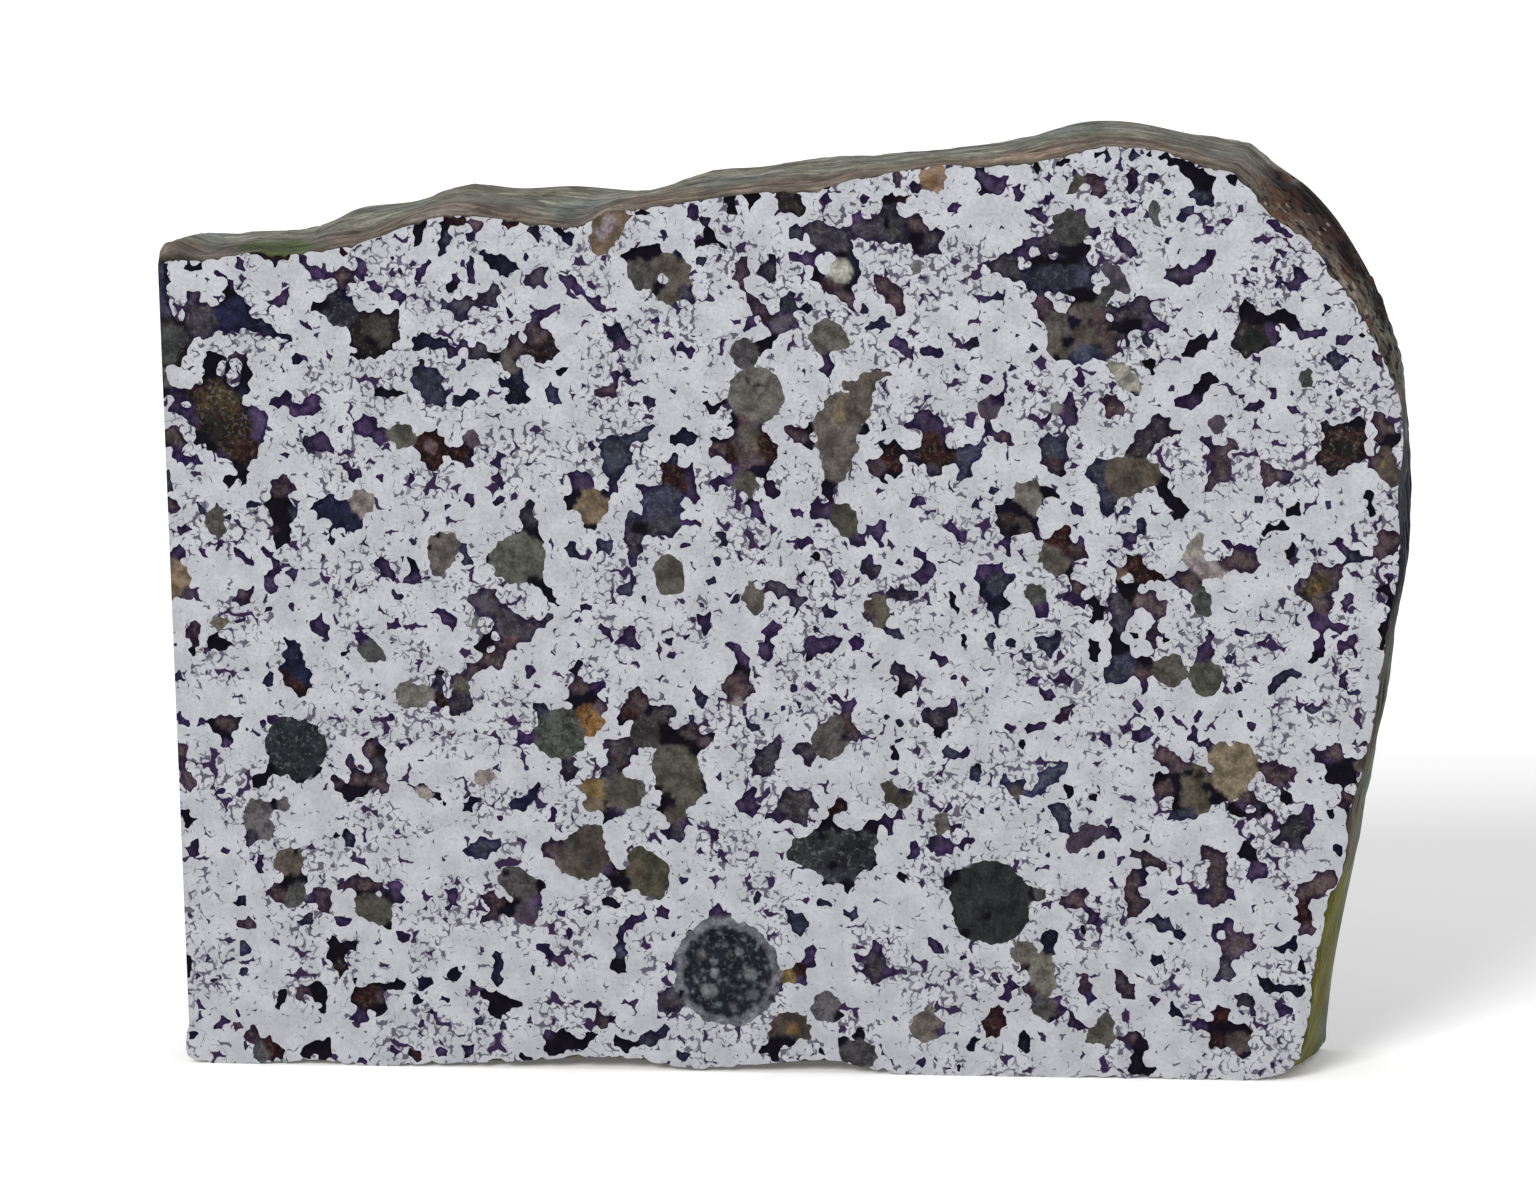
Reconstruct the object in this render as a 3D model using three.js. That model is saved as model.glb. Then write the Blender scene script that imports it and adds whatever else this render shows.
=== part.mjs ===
import * as THREE from "three";
import { mergeVertices } from "three/addons/utils/BufferGeometryUtils.js";

// A standing slice of a metal-rich chondrite meteorite: a polished front, a cut back, a sawn left end, and the
// natural weathered outside of the stone over the top, down the right side and underneath.
// Millimetres. X runs along the slice, Y through its thickness with the polished face towards -Y, Z is up.
// The origin is the centre of the footprint, on the surface that the slice stands on.

// Driving dimensions
const THICKNESS = 6;
const SAWN_END_X = -22.95;
const CREST_Z = 34.35;
const LAYERS = 8; // steps through the thickness
const SPACING = 0.62; // distance between points round the outline
const DOME = 0.1; // how far the weathered outside swells between the two faces
const DENT = 0.1; // depth of the dents in it
const RIM = 0.04; // worn edge where a face meets the weathered outside
const FOOT_RISE = 0.5; // height above the flat feet over which the weathered surface sets in

// The two faces' outlines, [x, z], clockwise from the foot of the sawn end. Each has four runs, and a run of the
// front face and the same run of the back face have the same landmarks at their ends.
const FRONT = {
  sawnEnd: [[-22.74, 1.5], [SAWN_END_X, 29.75]],
  top: [
    [SAWN_END_X, 29.75], [-22.6, 29.95], [-21.3, 29.95], [-19.3, 30.25], [-18.1, 30.15], [-16.8, 30.35],
    [-15.8, 30.45], [-14.3, 30.95], [-12.8, 31.45], [-11.5, 31.6], [-9.8, 31.45], [-8.3, 31.25],
    [-7.1, 31.25], [-6.1, 31.75], [-4.5, 31.9], [-2.3, 32.2], [-0.3, 32.45], [1.7, 32.55], [3.2, 32.95],
    [4.7, 33.2], [6.2, 33.45], [7.7, 33.4], [9.7, 33.55], [11.2, 33.85], [12.2, 34.1], [13.7, 34.05],
    [15, 33.8], [16, 33.4], [17, 33.15],
  ],
  right: [
    [17, 33.15], [17.6, 32.65], [18.2, 31.8], [19.2, 31.1], [20, 30.35], [20.6, 29.4], [21.3, 28.45],
    [22, 27.15], [22.45, 26.25], [22.9, 24.85], [22.97, 23.25], [22.75, 21.55], [22.8, 19.55], [22.6, 17.85],
    [22.3, 16.35], [22, 14.85], [21.7, 13.05], [21.3, 11.45], [20.8, 9.85], [20.7, 8.25], [20.2, 7.05],
    [19.7, 5.35], [19.4, 3.65], [19.15, 2.05], [18.9, 0.95], [18.5, 0.45],
  ],
  underside: [
    [18.5, 0.45], [17.7, 0.15], [16.5, 0], [14, 0], [13, 0.13], [11.9, 0], [5.2, 0], [3.7, 0.08],
    [2.7, 0.25], [2, 0.42], [1.4, 0.5], [0.2, 0.45], [-1.5, 0.27], [-3, 0.1], [-4.6, 0.18], [-5.9, 0.42],
    [-7.8, 0.47], [-9.8, 0.3], [-12.3, 0.17], [-14.2, 0.08], [-15.2, 0], [-16.2, 0], [-17.8, 0.2], [-19, 0.1],
    [-20, 0], [-21.7, 0], [-22.6, 0.12], [-22.9, 0.55], [-22.74, 1.5],
  ],
};
const BACK = {
  sawnEnd: [[-22.74, 1.5], [SAWN_END_X, 29.9]],
  top: [
    [SAWN_END_X, 29.9], [-22.5, 30.1], [-20.2, 30.2], [-18.2, 30.5], [-16.7, 31.15], [-14.6, 31.4],
    [-12.6, 32], [-10.6, 31.87], [-8.6, 31.95], [-6.6, 31.8], [-5.5, 31.8], [-4.5, 32.15], [-3.2, 32.55],
    [-1.5, 32.67], [0.5, 32.95], [2.5, 33.02], [4.6, 33.22], [6.6, 33.42], [8.6, 33.78], [10.2, 34.25],
    [11.4, CREST_Z], [12.7, 34.23], [14.6, 33.83], [16.65, 33.5],
  ],
  right: [
    [16.65, 33.5], [17.7, 32.65], [18.7, 31.93], [19.75, 30.75], [20.75, 29.1], [21.25, 28], [21.75, 26.55],
    [22.05, 24.95], [22.2, 23.15], [22.25, 21.65], [22.2, 19.65], [22, 17.65], [21.6, 15.85],
    [21.05, 13.1], [20.75, 11.1], [20.4, 9.1], [20, 7.05], [19.55, 5.05], [19.15, 3.05], [18.88, 1.05],
    [18.78, 0.25],
  ],
  underside: [
    [18.78, 0.25], [18.3, 0.03], [16.5, 0], [14, 0], [12.9, 0.12], [11.9, 0], [5.2, 0], [4, 0.15],
    [2.4, 0.33], [0.8, 0.28], [-0.9, 0.36], [-2.8, 0.22], [-4.9, 0.3], [-6.9, 0.34], [-9.2, 0.2],
    [-11.5, 0.26], [-13.9, 0.1], [-15.2, 0], [-16.2, 0], [-17.7, 0.14], [-18.9, 0.12], [-20, 0], [-21.7, 0],
    [-22.5, 0.12], [-22.85, 0.5], [-22.74, 1.5],
  ],
};

// Points at even distances along the curve through a run's points, without its last one.
function walk(run, steps) {
  const curve = new THREE.SplineCurve(run.map(([x, z]) => new THREE.Vector2(x, z)));
  return curve.getSpacedPoints(steps).slice(0, -1);
}

// The same number of points round both outlines. A run is natural unless it was sawn.
function outlines() {
  const found = [];
  for (const name of Object.keys(FRONT)) {
    const length = new THREE.SplineCurve(FRONT[name].map(([x, z]) => new THREE.Vector2(x, z))).getLength();
    const steps = Math.round(length / SPACING);
    const front = walk(FRONT[name], steps);
    const back = walk(BACK[name], steps);
    front.forEach((point, i) => found.push({ front: point, back: back[i], natural: name !== "sawnEnd" }));
  }
  return found;
}

// Long, shallow dents, from -1 to 1. at is the distance round the outline, across the fraction of the thickness.
function dents(at, across) {
  const broad = Math.sin(at * 0.83 + across * 1.2) + 0.8 * Math.sin(at * 0.51 - across * 4.3 + 1.9);
  const fine = 0.6 * Math.sin(at * 1.9 + 3 * Math.sin(across * 2.9 + at * 0.3));
  return (broad + fine) / 2.4;
}

// Where the outline's point lies at a fraction across the thickness, 0 at the front face and 1 at the back.
function section(ring, i, across) {
  const { front, back, natural } = ring[i];
  const place = front.clone().lerp(back, across);
  place.y = Math.max(0, place.y);
  const edge = across === 0 || across === 1;
  if (!natural || edge) return place;
  const last = ring[(i + ring.length - 1) % ring.length].front;
  const next = ring[(i + 1) % ring.length].front;
  const outward = new THREE.Vector2(last.y - next.y, next.x - last.x).normalize();
  const lift = Math.min(1, place.y / FOOT_RISE);
  const swell = 4 * across * (1 - across) * DOME + DENT * dents(i * SPACING, across);
  return place.addScaledVector(outward, lift * (RIM + swell));
}

function slice() {
  const ring = outlines();
  const shape = new THREE.Shape(ring.map(({ front }) => front));
  const geometry = new THREE.ExtrudeGeometry(shape, { depth: THICKNESS, steps: LAYERS, bevelEnabled: false });
  const key = (x, y) => `${Math.fround(x)},${Math.fround(y)}`;
  const index = new Map(ring.map(({ front }, i) => [key(front.x, front.y), i]));
  const at = geometry.getAttribute("position");
  for (let k = 0; k < at.count; k += 1) {
    const across = 1 - at.getZ(k) / THICKNESS;
    const place = section(ring, index.get(key(at.getX(k), at.getY(k))), across);
    at.setXYZ(k, place.x, (across - 0.5) * THICKNESS, place.y);
  }
  geometry.deleteAttribute("normal");
  geometry.deleteAttribute("uv");
  const solid = mergeVertices(geometry);
  solid.computeBoundingBox();
  const { min, max } = solid.boundingBox;
  solid.translate(-(min.x + max.x) / 2, 0, 0);
  solid.computeVertexNormals();
  return solid;
}

const polishedStone = new THREE.MeshStandardMaterial({ color: 0x9c9c9e, roughness: 0.4, metalness: 0.7 });

const group = new THREE.Group();
const meteorite = new THREE.Mesh(slice(), polishedStone);
meteorite.name = "meteorite_slice";
group.add(meteorite);

export default group;
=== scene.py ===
import math
import random

import bpy
import numpy as np
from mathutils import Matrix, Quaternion, Vector, noise
from mathutils.bvhtree import BVHTree
from mathutils.geometry import delaunay_2d_cdt


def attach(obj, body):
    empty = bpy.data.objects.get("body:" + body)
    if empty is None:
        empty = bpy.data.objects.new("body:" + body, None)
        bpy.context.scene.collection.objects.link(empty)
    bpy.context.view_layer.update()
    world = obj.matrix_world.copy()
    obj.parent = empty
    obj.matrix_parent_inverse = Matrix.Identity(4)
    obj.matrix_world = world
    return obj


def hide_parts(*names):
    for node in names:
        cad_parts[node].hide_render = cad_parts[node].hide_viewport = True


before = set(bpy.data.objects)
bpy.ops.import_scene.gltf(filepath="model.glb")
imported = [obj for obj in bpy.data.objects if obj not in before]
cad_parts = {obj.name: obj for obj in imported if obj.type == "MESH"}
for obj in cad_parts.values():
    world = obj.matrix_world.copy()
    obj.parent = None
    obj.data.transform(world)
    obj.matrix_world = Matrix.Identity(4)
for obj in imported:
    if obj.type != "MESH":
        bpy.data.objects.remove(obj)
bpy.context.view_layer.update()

# A standing slice of a metal-rich chondrite: bright iron-nickel grains with dark stony inclusions between.
# The polished face looks towards -Y, the cut back towards +Y, the left end is sawn, and the crust is the
# weathered outside of the stone over the top, down the right side and underneath.
# Lengths are millimetres until a mesh is made of them, unless a comment says otherwise.

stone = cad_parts["meteorite_slice"]

MM = 0.001
FRONT_Y = min(vertex.co.y for vertex in stone.data.vertices) / MM
BACK_Y = max(vertex.co.y for vertex in stone.data.vertices) / MM
SAWN_FOOT = (-22.82, 1.5)  # where the sawn end meets the weathered underside, x and z
RIM_STEP = 0.1  # distance between points round a face's edge


# ---------------------------------------------------------------- camera, floor and light

CAMERA_AT = (12, 9)  # degrees round from the front and up from the floor
CAMERA_TARGET = (-0.385, -3, 17.55)
CAMERA_DISTANCE = 400
CAMERA_ROLL = 1.45  # degrees
VIEW_WIDTH = 55.85  # what the camera takes in at its target
SKY_LIGHT = 0.72
BACKDROP_LIGHT = 1.05  # how bright the white behind the stone looks
LAMP_AT = (-12, 27)
LAMP_LIGHT = 3.1
LAMP_SPREAD = 22  # degrees, for soft shadows
FLOOR_HALF = 2.5  # metres from the stone to the floor's sides
PAPER_GLOW = 0.1


def direction(azimuth, elevation):
    """From the stone towards a place this many degrees round from the front and up from the floor."""
    side, rise = math.radians(azimuth), math.radians(elevation)
    return Vector((math.sin(side) * math.cos(rise), -math.cos(side) * math.cos(rise), math.sin(rise)))


def place_camera():
    """Looks at the polished face from a little to the right and above, through a long lens."""
    back = direction(*CAMERA_AT)
    distance = CAMERA_DISTANCE * MM
    data = bpy.data.cameras.new("camera")
    data.sensor_fit = "HORIZONTAL"
    data.sensor_width = 36
    data.lens = data.sensor_width * distance / (VIEW_WIDTH * MM)
    data.clip_start, data.clip_end = 0.01, 20
    camera = bpy.data.objects.new("camera", data)
    bpy.context.scene.collection.objects.link(camera)
    camera.rotation_mode = "QUATERNION"
    camera.location = Vector(CAMERA_TARGET) * MM + back * distance
    roll = Quaternion((0, 0, 1), -math.radians(CAMERA_ROLL))
    camera.rotation_quaternion = (-back).to_track_quat("-Z", "Y") @ roll
    bpy.context.scene.camera = camera


def light_the_sky():
    """An even white sky, with its own brightness where the camera sees it behind the stone."""
    bpy.context.scene.view_settings.view_transform = "Standard"
    world = bpy.data.worlds.new("studio")
    bpy.context.scene.world = world
    world.use_nodes = True
    tree = world.node_tree
    sky = tree.nodes["Background"]
    sky.inputs["Strength"].default_value = SKY_LIGHT
    backdrop = put(tree, "ShaderNodeBackground", {"Strength": BACKDROP_LIGHT})
    for background in (sky, backdrop):
        background.inputs["Color"].default_value = (1, 1, 1, 1)
    seen = put(tree, "ShaderNodeLightPath").outputs["Is Camera Ray"]
    chosen = put(tree, "ShaderNodeMixShader", {0: seen, 1: sky.outputs[0], 2: backdrop.outputs[0]})
    tree.links.new(chosen.outputs[0], tree.nodes["World Output"].inputs["Surface"])
    world.cycles.sampling_method = "NONE"


def hang_the_lamp():
    """One broad soft light from the front, a little to the left."""
    data = bpy.data.lights.new("soft_light", "SUN")
    data.energy = LAMP_LIGHT
    data.angle = math.radians(LAMP_SPREAD)
    lamp = bpy.data.objects.new("soft_light", data)
    lamp.rotation_mode = "QUATERNION"
    lamp.rotation_quaternion = direction(*LAMP_AT).to_track_quat("Z", "Y")
    bpy.context.scene.collection.objects.link(lamp)


def lay_the_floor():
    """A wide sheet of white paper."""
    corners = [(x * FLOOR_HALF, y * FLOOR_HALF, 0) for x, y in ((-1, -1), (1, -1), (1, 1), (-1, 1))]
    mesh = bpy.data.meshes.new("floor")
    mesh.from_pydata(corners, [], [(0, 1, 2, 3)])
    floor = bpy.data.objects.new("floor", mesh)
    bpy.context.scene.collection.objects.link(floor)
    paper, _, finish = new_material("white_paper")
    finish.inputs["Base Color"].default_value = (0.92, 0.92, 0.92, 1)
    finish.inputs["Roughness"].default_value = 1
    finish.inputs["Specular IOR Level"].default_value = 0
    finish.inputs["Emission Color"].default_value = (1, 1, 1, 1)
    finish.inputs["Emission Strength"].default_value = PAPER_GLOW
    paper.cycles.emission_sampling = "NONE"
    mesh.materials.append(paper)


# ---------------------------------------------------------------- node helpers

def put(tree, kind, sockets=None, **settings):
    """Adds a node. Its sockets are given by name or number, each as a value or as a link to come from."""
    node = tree.nodes.new(kind)
    for name, value in settings.items():
        setattr(node, name, value)
    for name, value in (sockets or {}).items():
        if isinstance(value, bpy.types.NodeSocket):
            tree.links.new(value, node.inputs[name])
        else:
            node.inputs[name].default_value = value
    return node


def maths(tree, operation, *values):
    """The output of a Math node."""
    return put(tree, "ShaderNodeMath", dict(enumerate(values)), operation=operation).outputs[0]


def times(tree, first, second):
    """One value times another."""
    return maths(tree, "MULTIPLY", first, second)


def stretched(tree, vector, by):
    """A vector with each of its parts multiplied by its own number."""
    return put(tree, "ShaderNodeVectorMath", {0: vector, 1: by}, operation="MULTIPLY").outputs[0]


def scaled(tree, vector, by):
    """A vector or a colour multiplied by one number."""
    return put(tree, "ShaderNodeVectorMath", {0: vector, "Scale": by}, operation="SCALE").outputs[0]


def ramp(tree, value, low, high, to_low=0.0, to_high=1.0):
    """The value eased from low..high to to_low..to_high."""
    sockets = {"Value": value, "From Min": low, "From Max": high, "To Min": to_low, "To Max": to_high}
    return put(tree, "ShaderNodeMapRange", sockets, interpolation_type="SMOOTHSTEP").outputs["Result"]


def blend_colour(tree, share, first, second, how="MIX"):
    """The output of a colour Mix node."""
    sockets = {0: share, 6: first, 7: second}
    return put(tree, "ShaderNodeMix", sockets, data_type="RGBA", blend_type=how).outputs[2]


def blend_value(tree, share, first, second):
    """The output of a Mix node for plain values."""
    return put(tree, "ShaderNodeMix", {0: share, 2: first, 3: second}).outputs[0]


def grain_noise(tree, place, scale, detail=2.0, roughness=0.55, distortion=0.0, output=0):
    """The value of a Noise node in space, or its colour as output 1."""
    sockets = {
        "Vector": place, "Scale": scale, "Detail": detail, "Roughness": roughness, "Distortion": distortion,
    }
    return put(tree, "ShaderNodeTexNoise", sockets).outputs[output]


def flat_noise(tree, place, *settings, **more):
    """The same over a cut face, in its own two directions."""
    found = grain_noise(tree, place, *settings, **more)
    found.node.noise_dimensions = "2D"
    return found


def cells(tree, place, scale, feature):
    """The distance that a Voronoi node finds over a cut face."""
    sockets = {"Vector": place, "Scale": scale}
    node = put(tree, "ShaderNodeTexVoronoi", sockets, feature=feature, voronoi_dimensions="2D")
    return node.outputs["Distance"]


def stored(tree, name, output="Vector"):
    """What a mesh stores under this name for its material."""
    return put(tree, "ShaderNodeAttribute", attribute_name=name).outputs[output]


def place_in_stone(tree):
    """Where in the stone a point lies, in millimetres."""
    return scaled(tree, put(tree, "ShaderNodeTexCoord").outputs["Object"], 1 / MM)


def new_group(name, inputs, outputs):
    """A shader node group with named inputs and outputs, each a (name, type, default) tuple."""
    group = bpy.data.node_groups.new(name, "ShaderNodeTree")
    for way, sockets in (("INPUT", inputs), ("OUTPUT", outputs)):
        for socket, kind, default in sockets:
            made = group.interface.new_socket(socket, in_out=way, socket_type=f"NodeSocket{kind}")
            if default is not None:
                made.default_value = default
    return group, put(group, "NodeGroupInput").outputs, put(group, "NodeGroupOutput").inputs


def use_group(tree, group, sockets):
    """The outputs of a shared effect, placed in a material with its own values."""
    return put(tree, "ShaderNodeGroup", sockets, node_tree=group).outputs


def new_material(name):
    """A material, its node tree and its Principled shader."""
    material = bpy.data.materials.new(name)
    material.use_nodes = True
    return material, material.node_tree, material.node_tree.nodes["Principled BSDF"]


def roughen(tree, surface, height, strength, depth):
    """Bumps a surface by a height, of which 1 stands for this depth."""
    bump = put(tree, "ShaderNodeBump", {"Height": height, "Strength": strength, "Distance": depth * MM})
    tree.links.new(bump.outputs[0], surface.inputs["Normal"])


# ---------------------------------------------------------------- tones

STONE_LIGHT = 1.98  # how brightly the studio lights the cut faces
RIND_LIGHT = 1.48  # and the crust


def ink(red, green, blue, light=STONE_LIGHT):
    """A surface colour that shows as this screen colour under the studio's light."""
    shown = np.array([red, green, blue]) / 255
    linear = np.where(shown <= 0.04045, shown / 12.92, ((shown + 0.055) / 1.055) ** 2.4)
    return (*(linear / light), 1.0)


METAL_BRIGHT = (0.386, 0.39, 0.413, 1)
METAL_DULL = (0.325, 0.33, 0.352, 1)
SPECK_TONE = ink(54, 40, 72)
PALE_CRYSTAL = ink(118, 119, 120)
DARK_CRYSTAL = ink(20, 19, 24)
RUST_STAIN = ink(74, 38, 32)
GREEN_STAIN = ink(98, 92, 44)
DARK_RIM_AND_SHADE = (0.36, 0.26, 0.6, 1)  # by which a stony inclusion's tone is multiplied at its edge: partly its own dark rim, partly painted shade where it steps down below the metal
SCUFF = ink(164, 158, 146, light=RIND_LIGHT)
RUSSET = ink(88, 50, 32, light=RIND_LIGHT)


# ---------------------------------------------------------------- shared effects

# Each size of speck: cells to a millimetre, how far from a cell's middle it starts where specks are rare,
# how much nearer it starts where they are thick, and how dark it is.
SPECK_SIZES = ((2.3, 0.82, 0.14, 1.0), (4.6, 0.82, 0.23, 0.85))
SPECK_WAVER = (0.22, 0.22, 0.22)
SMUDGE = 0.28  # darkness of the soft edge round a speck
HAIRLINE_WIDTH = 0.12
HAIRLINE = 0.62  # its darkness


def specks_group():
    """Dark specks where metal grains meet and hairlines between them, in thick and in sparse patches."""
    group, given, made = new_group(
        "specks_and_hairlines",
        [("Place", "Vector", None), ("Amount", "Float", 1.0)],
        [("Specks", "Float", None)],
    )
    place = given["Place"]
    patchy = flat_noise(group, place, 0.42, 2.0, 0.6)
    amount = times(group, ramp(group, patchy, 0.38, 0.68), given["Amount"])
    waver = stretched(group, flat_noise(group, place, 3.1, 1.0, output=1), SPECK_WAVER)
    warped = put(group, "ShaderNodeVectorMath", {0: place, 1: waver}, operation="ADD").outputs[0]
    specks, halo = None, None
    for scale, start, spread, depth in SPECK_SIZES:
        limit = ramp(group, amount, 0.0, 1.0, start, start - spread)
        gap = maths(group, "SUBTRACT", cells(group, warped, scale, "F1"), limit)
        speck = ramp(group, gap, -0.01, 0.03, 0.0, depth)
        specks = speck if specks is None else maths(group, "MAXIMUM", specks, speck)
        smudge = ramp(group, gap, -0.14, 0.03, 0.0, SMUDGE)
        halo = smudge if halo is None else maths(group, "MAXIMUM", halo, smudge)
    broken = flat_noise(group, place, 3.4, 2.0)
    width = times(group, ramp(group, broken, 0.45, 0.64), times(group, amount, HAIRLINE_WIDTH))
    inside_line = maths(group, "SUBTRACT", width, cells(group, warped, 2.2, "DISTANCE_TO_EDGE"))
    faint = times(group, ramp(group, inside_line, -0.006, 0.014), HAIRLINE)
    halo = times(group, halo, ramp(group, amount, 0.0, 0.6))
    marks = maths(group, "MAXIMUM", halo, maths(group, "MAXIMUM", specks, faint))
    group.links.new(marks, made["Specks"])
    return group


def mottle_group():
    """Uneven tone inside a stony inclusion, with pale and dark crystals as far as Crystals says, and a dark
    edge that is partly painted shade.
    """
    group, given, made = new_group(
        "stony_mottle",
        [("Place", "Vector", None), ("Tone", "Color", (0.1, 0.1, 0.1, 1)), ("Crystals", "Float", 0.0),
         ("Rust", "Float", 0.0), ("Inset", "Float", 1.0)],
        [("Tone", "Color", None)],
    )
    place, inset, crystals, rust = (given[name] for name in ("Place", "Inset", "Crystals", "Rust"))
    cloud = flat_noise(group, place, 1.7, 3.0, 0.62)
    fine = flat_noise(group, place, 9.0, 2.0, 0.6)
    shade = times(group, ramp(group, cloud, 0.3, 0.7, 0.6, 1.45), ramp(group, fine, 0.3, 0.7, 0.8, 1.2))
    shade = times(group, shade, ramp(group, inset, 0.2, 1.0, 1.1, 1.02))
    tone = scaled(group, given["Tone"], shade)
    uneven = flat_noise(group, place, 5.2, 2.0, 0.7, 0.6)
    tone = blend_colour(group, times(group, ramp(group, uneven, 0.57, 0.72), crystals), tone, PALE_CRYSTAL)
    tone = blend_colour(group, times(group, ramp(group, uneven, 0.46, 0.34), crystals), tone, DARK_CRYSTAL)
    stains = flat_noise(group, place, 2.6, 2.0, 0.6)
    tone = blend_colour(group, times(group, ramp(group, stains, 0.5, 0.66), rust), tone, RUST_STAIN)
    green = times(group, ramp(group, flat_noise(group, place, 6.0, 2.0), 0.56, 0.68), rust)
    tone = blend_colour(group, times(group, green, 0.8), tone, GREEN_STAIN)
    # The dark edge: partly the inclusion's own dark rim, partly painted shade where it steps down below the
    # metal.
    rim = maths(group, "ADD", inset, ramp(group, cloud, 0.35, 0.65, -0.16, 0.22))
    rim = ramp(group, rim, 0.12, 0.9, 1.0, 0.0)
    group.links.new(blend_colour(group, rim, tone, DARK_RIM_AND_SHADE, "MULTIPLY"), made["Tone"])
    return group


def tooth_group():
    """A fine uneven tooth, longer one way than the other by Stretch, as a height from 0 to 1."""
    group, given, made = new_group(
        "fine_tooth",
        [("Place", "Vector", None), ("Scale", "Float", 8.0), ("Stretch", "Vector", (1, 1, 1))],
        [("Height", "Float", None)],
    )
    drawn = stretched(group, given["Place"], given["Stretch"])
    group.links.new(grain_noise(group, drawn, given["Scale"], 1.0, 0.65), made["Height"])
    return group


# ---------------------------------------------------------------- the stone's edges, taken from the CAD solid

CHIP = 0.13  # depth of the chips along the polished face's edge
CURVE_PARTS = 12  # parts into which a curve between two corners is cut before it is measured
CLEAR_OF_ENDS = 0.8  # distance from an edge's ends within which its wear fades out


def face_loop(y):
    """The corners of the CAD face at y, clockwise as seen from the front, from its top left corner."""
    mesh = stone.data
    sides = set()
    for polygon in mesh.polygons:
        corners = [mesh.vertices[i].co / MM for i in polygon.vertices]
        if all(abs(corner.y - y) < 0.001 for corner in corners):
            spots = [(round(corner.x, 3), round(corner.z, 3)) for corner in corners]
            sides.update(zip(spots, spots[1:] + spots[:1]))
    following = {a: b for a, b in sides if (b, a) not in sides}
    loop = [next(iter(following))]
    while following[loop[-1]] != loop[0]:
        loop.append(following[loop[-1]])
    points = np.array(loop)
    after = np.roll(points, -1, axis=0)
    turn = points[:, 0] @ after[:, 1] - points[:, 1] @ after[:, 0]
    if turn > 0:
        points = points[::-1]
    return np.roll(points, -int(np.argmin(points[:, 0] - points[:, 1])), axis=0)


def even_points(points, count):
    """That many points at even distances along a smooth curve through the given ones."""
    padded = np.vstack([2 * points[0] - points[1], points, 2 * points[-1] - points[-2]])
    before, here, there, after = (padded[i:len(padded) - 3 + i, None] for i in range(4))
    t = np.linspace(0, 1, CURVE_PARTS, endpoint=False)[None, :, None]
    curve = 0.5 * (
        2 * here
        + (there - before) * t
        + (2 * before - 5 * here + 4 * there - after) * t ** 2
        + (3 * here - before - 3 * there + after) * t ** 3
    )
    curve = np.vstack([curve.reshape(-1, 2), points[-1]])
    along = np.r_[0, np.cumsum(np.hypot(*np.diff(curve, axis=0).T))]
    wanted = np.linspace(0, along[-1], count)
    return np.stack([np.interp(wanted, along, curve[:, i]) for i in (0, 1)], 1)


def outward_of(run):
    """Unit vectors pointing out of the stone along a clockwise run."""
    way = np.gradient(run, axis=0)
    out = np.stack([-way[:, 1], way[:, 0]], 1)
    return out / np.hypot(*out.T)[:, None]


def chipping_at(along):
    """How far the polished face's edge is chipped at a place along it, in broad bites and narrow nicks."""
    bites = 1.6 * max(0.0, noise.noise((along * 1.3, 4.2, 0)) - 0.1)
    nicks = max(0.0, 0.75 - 4.5 * abs(noise.noise((along * 1.15, 1.7, 3))))
    return bites + nicks


def natural_edges():
    """The weathered part of both faces' edges, point for point, and how far along each point is."""
    edges = []
    for y in (FRONT_Y, BACK_Y):
        loop = face_loop(y)
        foot = int(np.argmin(np.hypot(*(loop - SAWN_FOOT).T)))
        edges.append(loop[: foot + 1])
    length = np.hypot(*np.diff(edges[0], axis=0).T).sum()
    count = int(length / RIM_STEP)
    front, back = (even_points(edge, count) for edge in edges)
    along = np.arange(count) * RIM_STEP
    ends = np.clip(np.minimum(along, along[::-1]) / CLEAR_OF_ENDS, 0, 1)
    chips = np.clip(np.array([chipping_at(s) for s in along]), 0, 1)
    front = front - outward_of(front) * (CHIP * chips * ends)[:, None]
    for edge in (front, back):
        edge[:, 1] = np.maximum(edge[:, 1], 0)
    return front, back, along


# ---------------------------------------------------------------- inclusions

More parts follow.
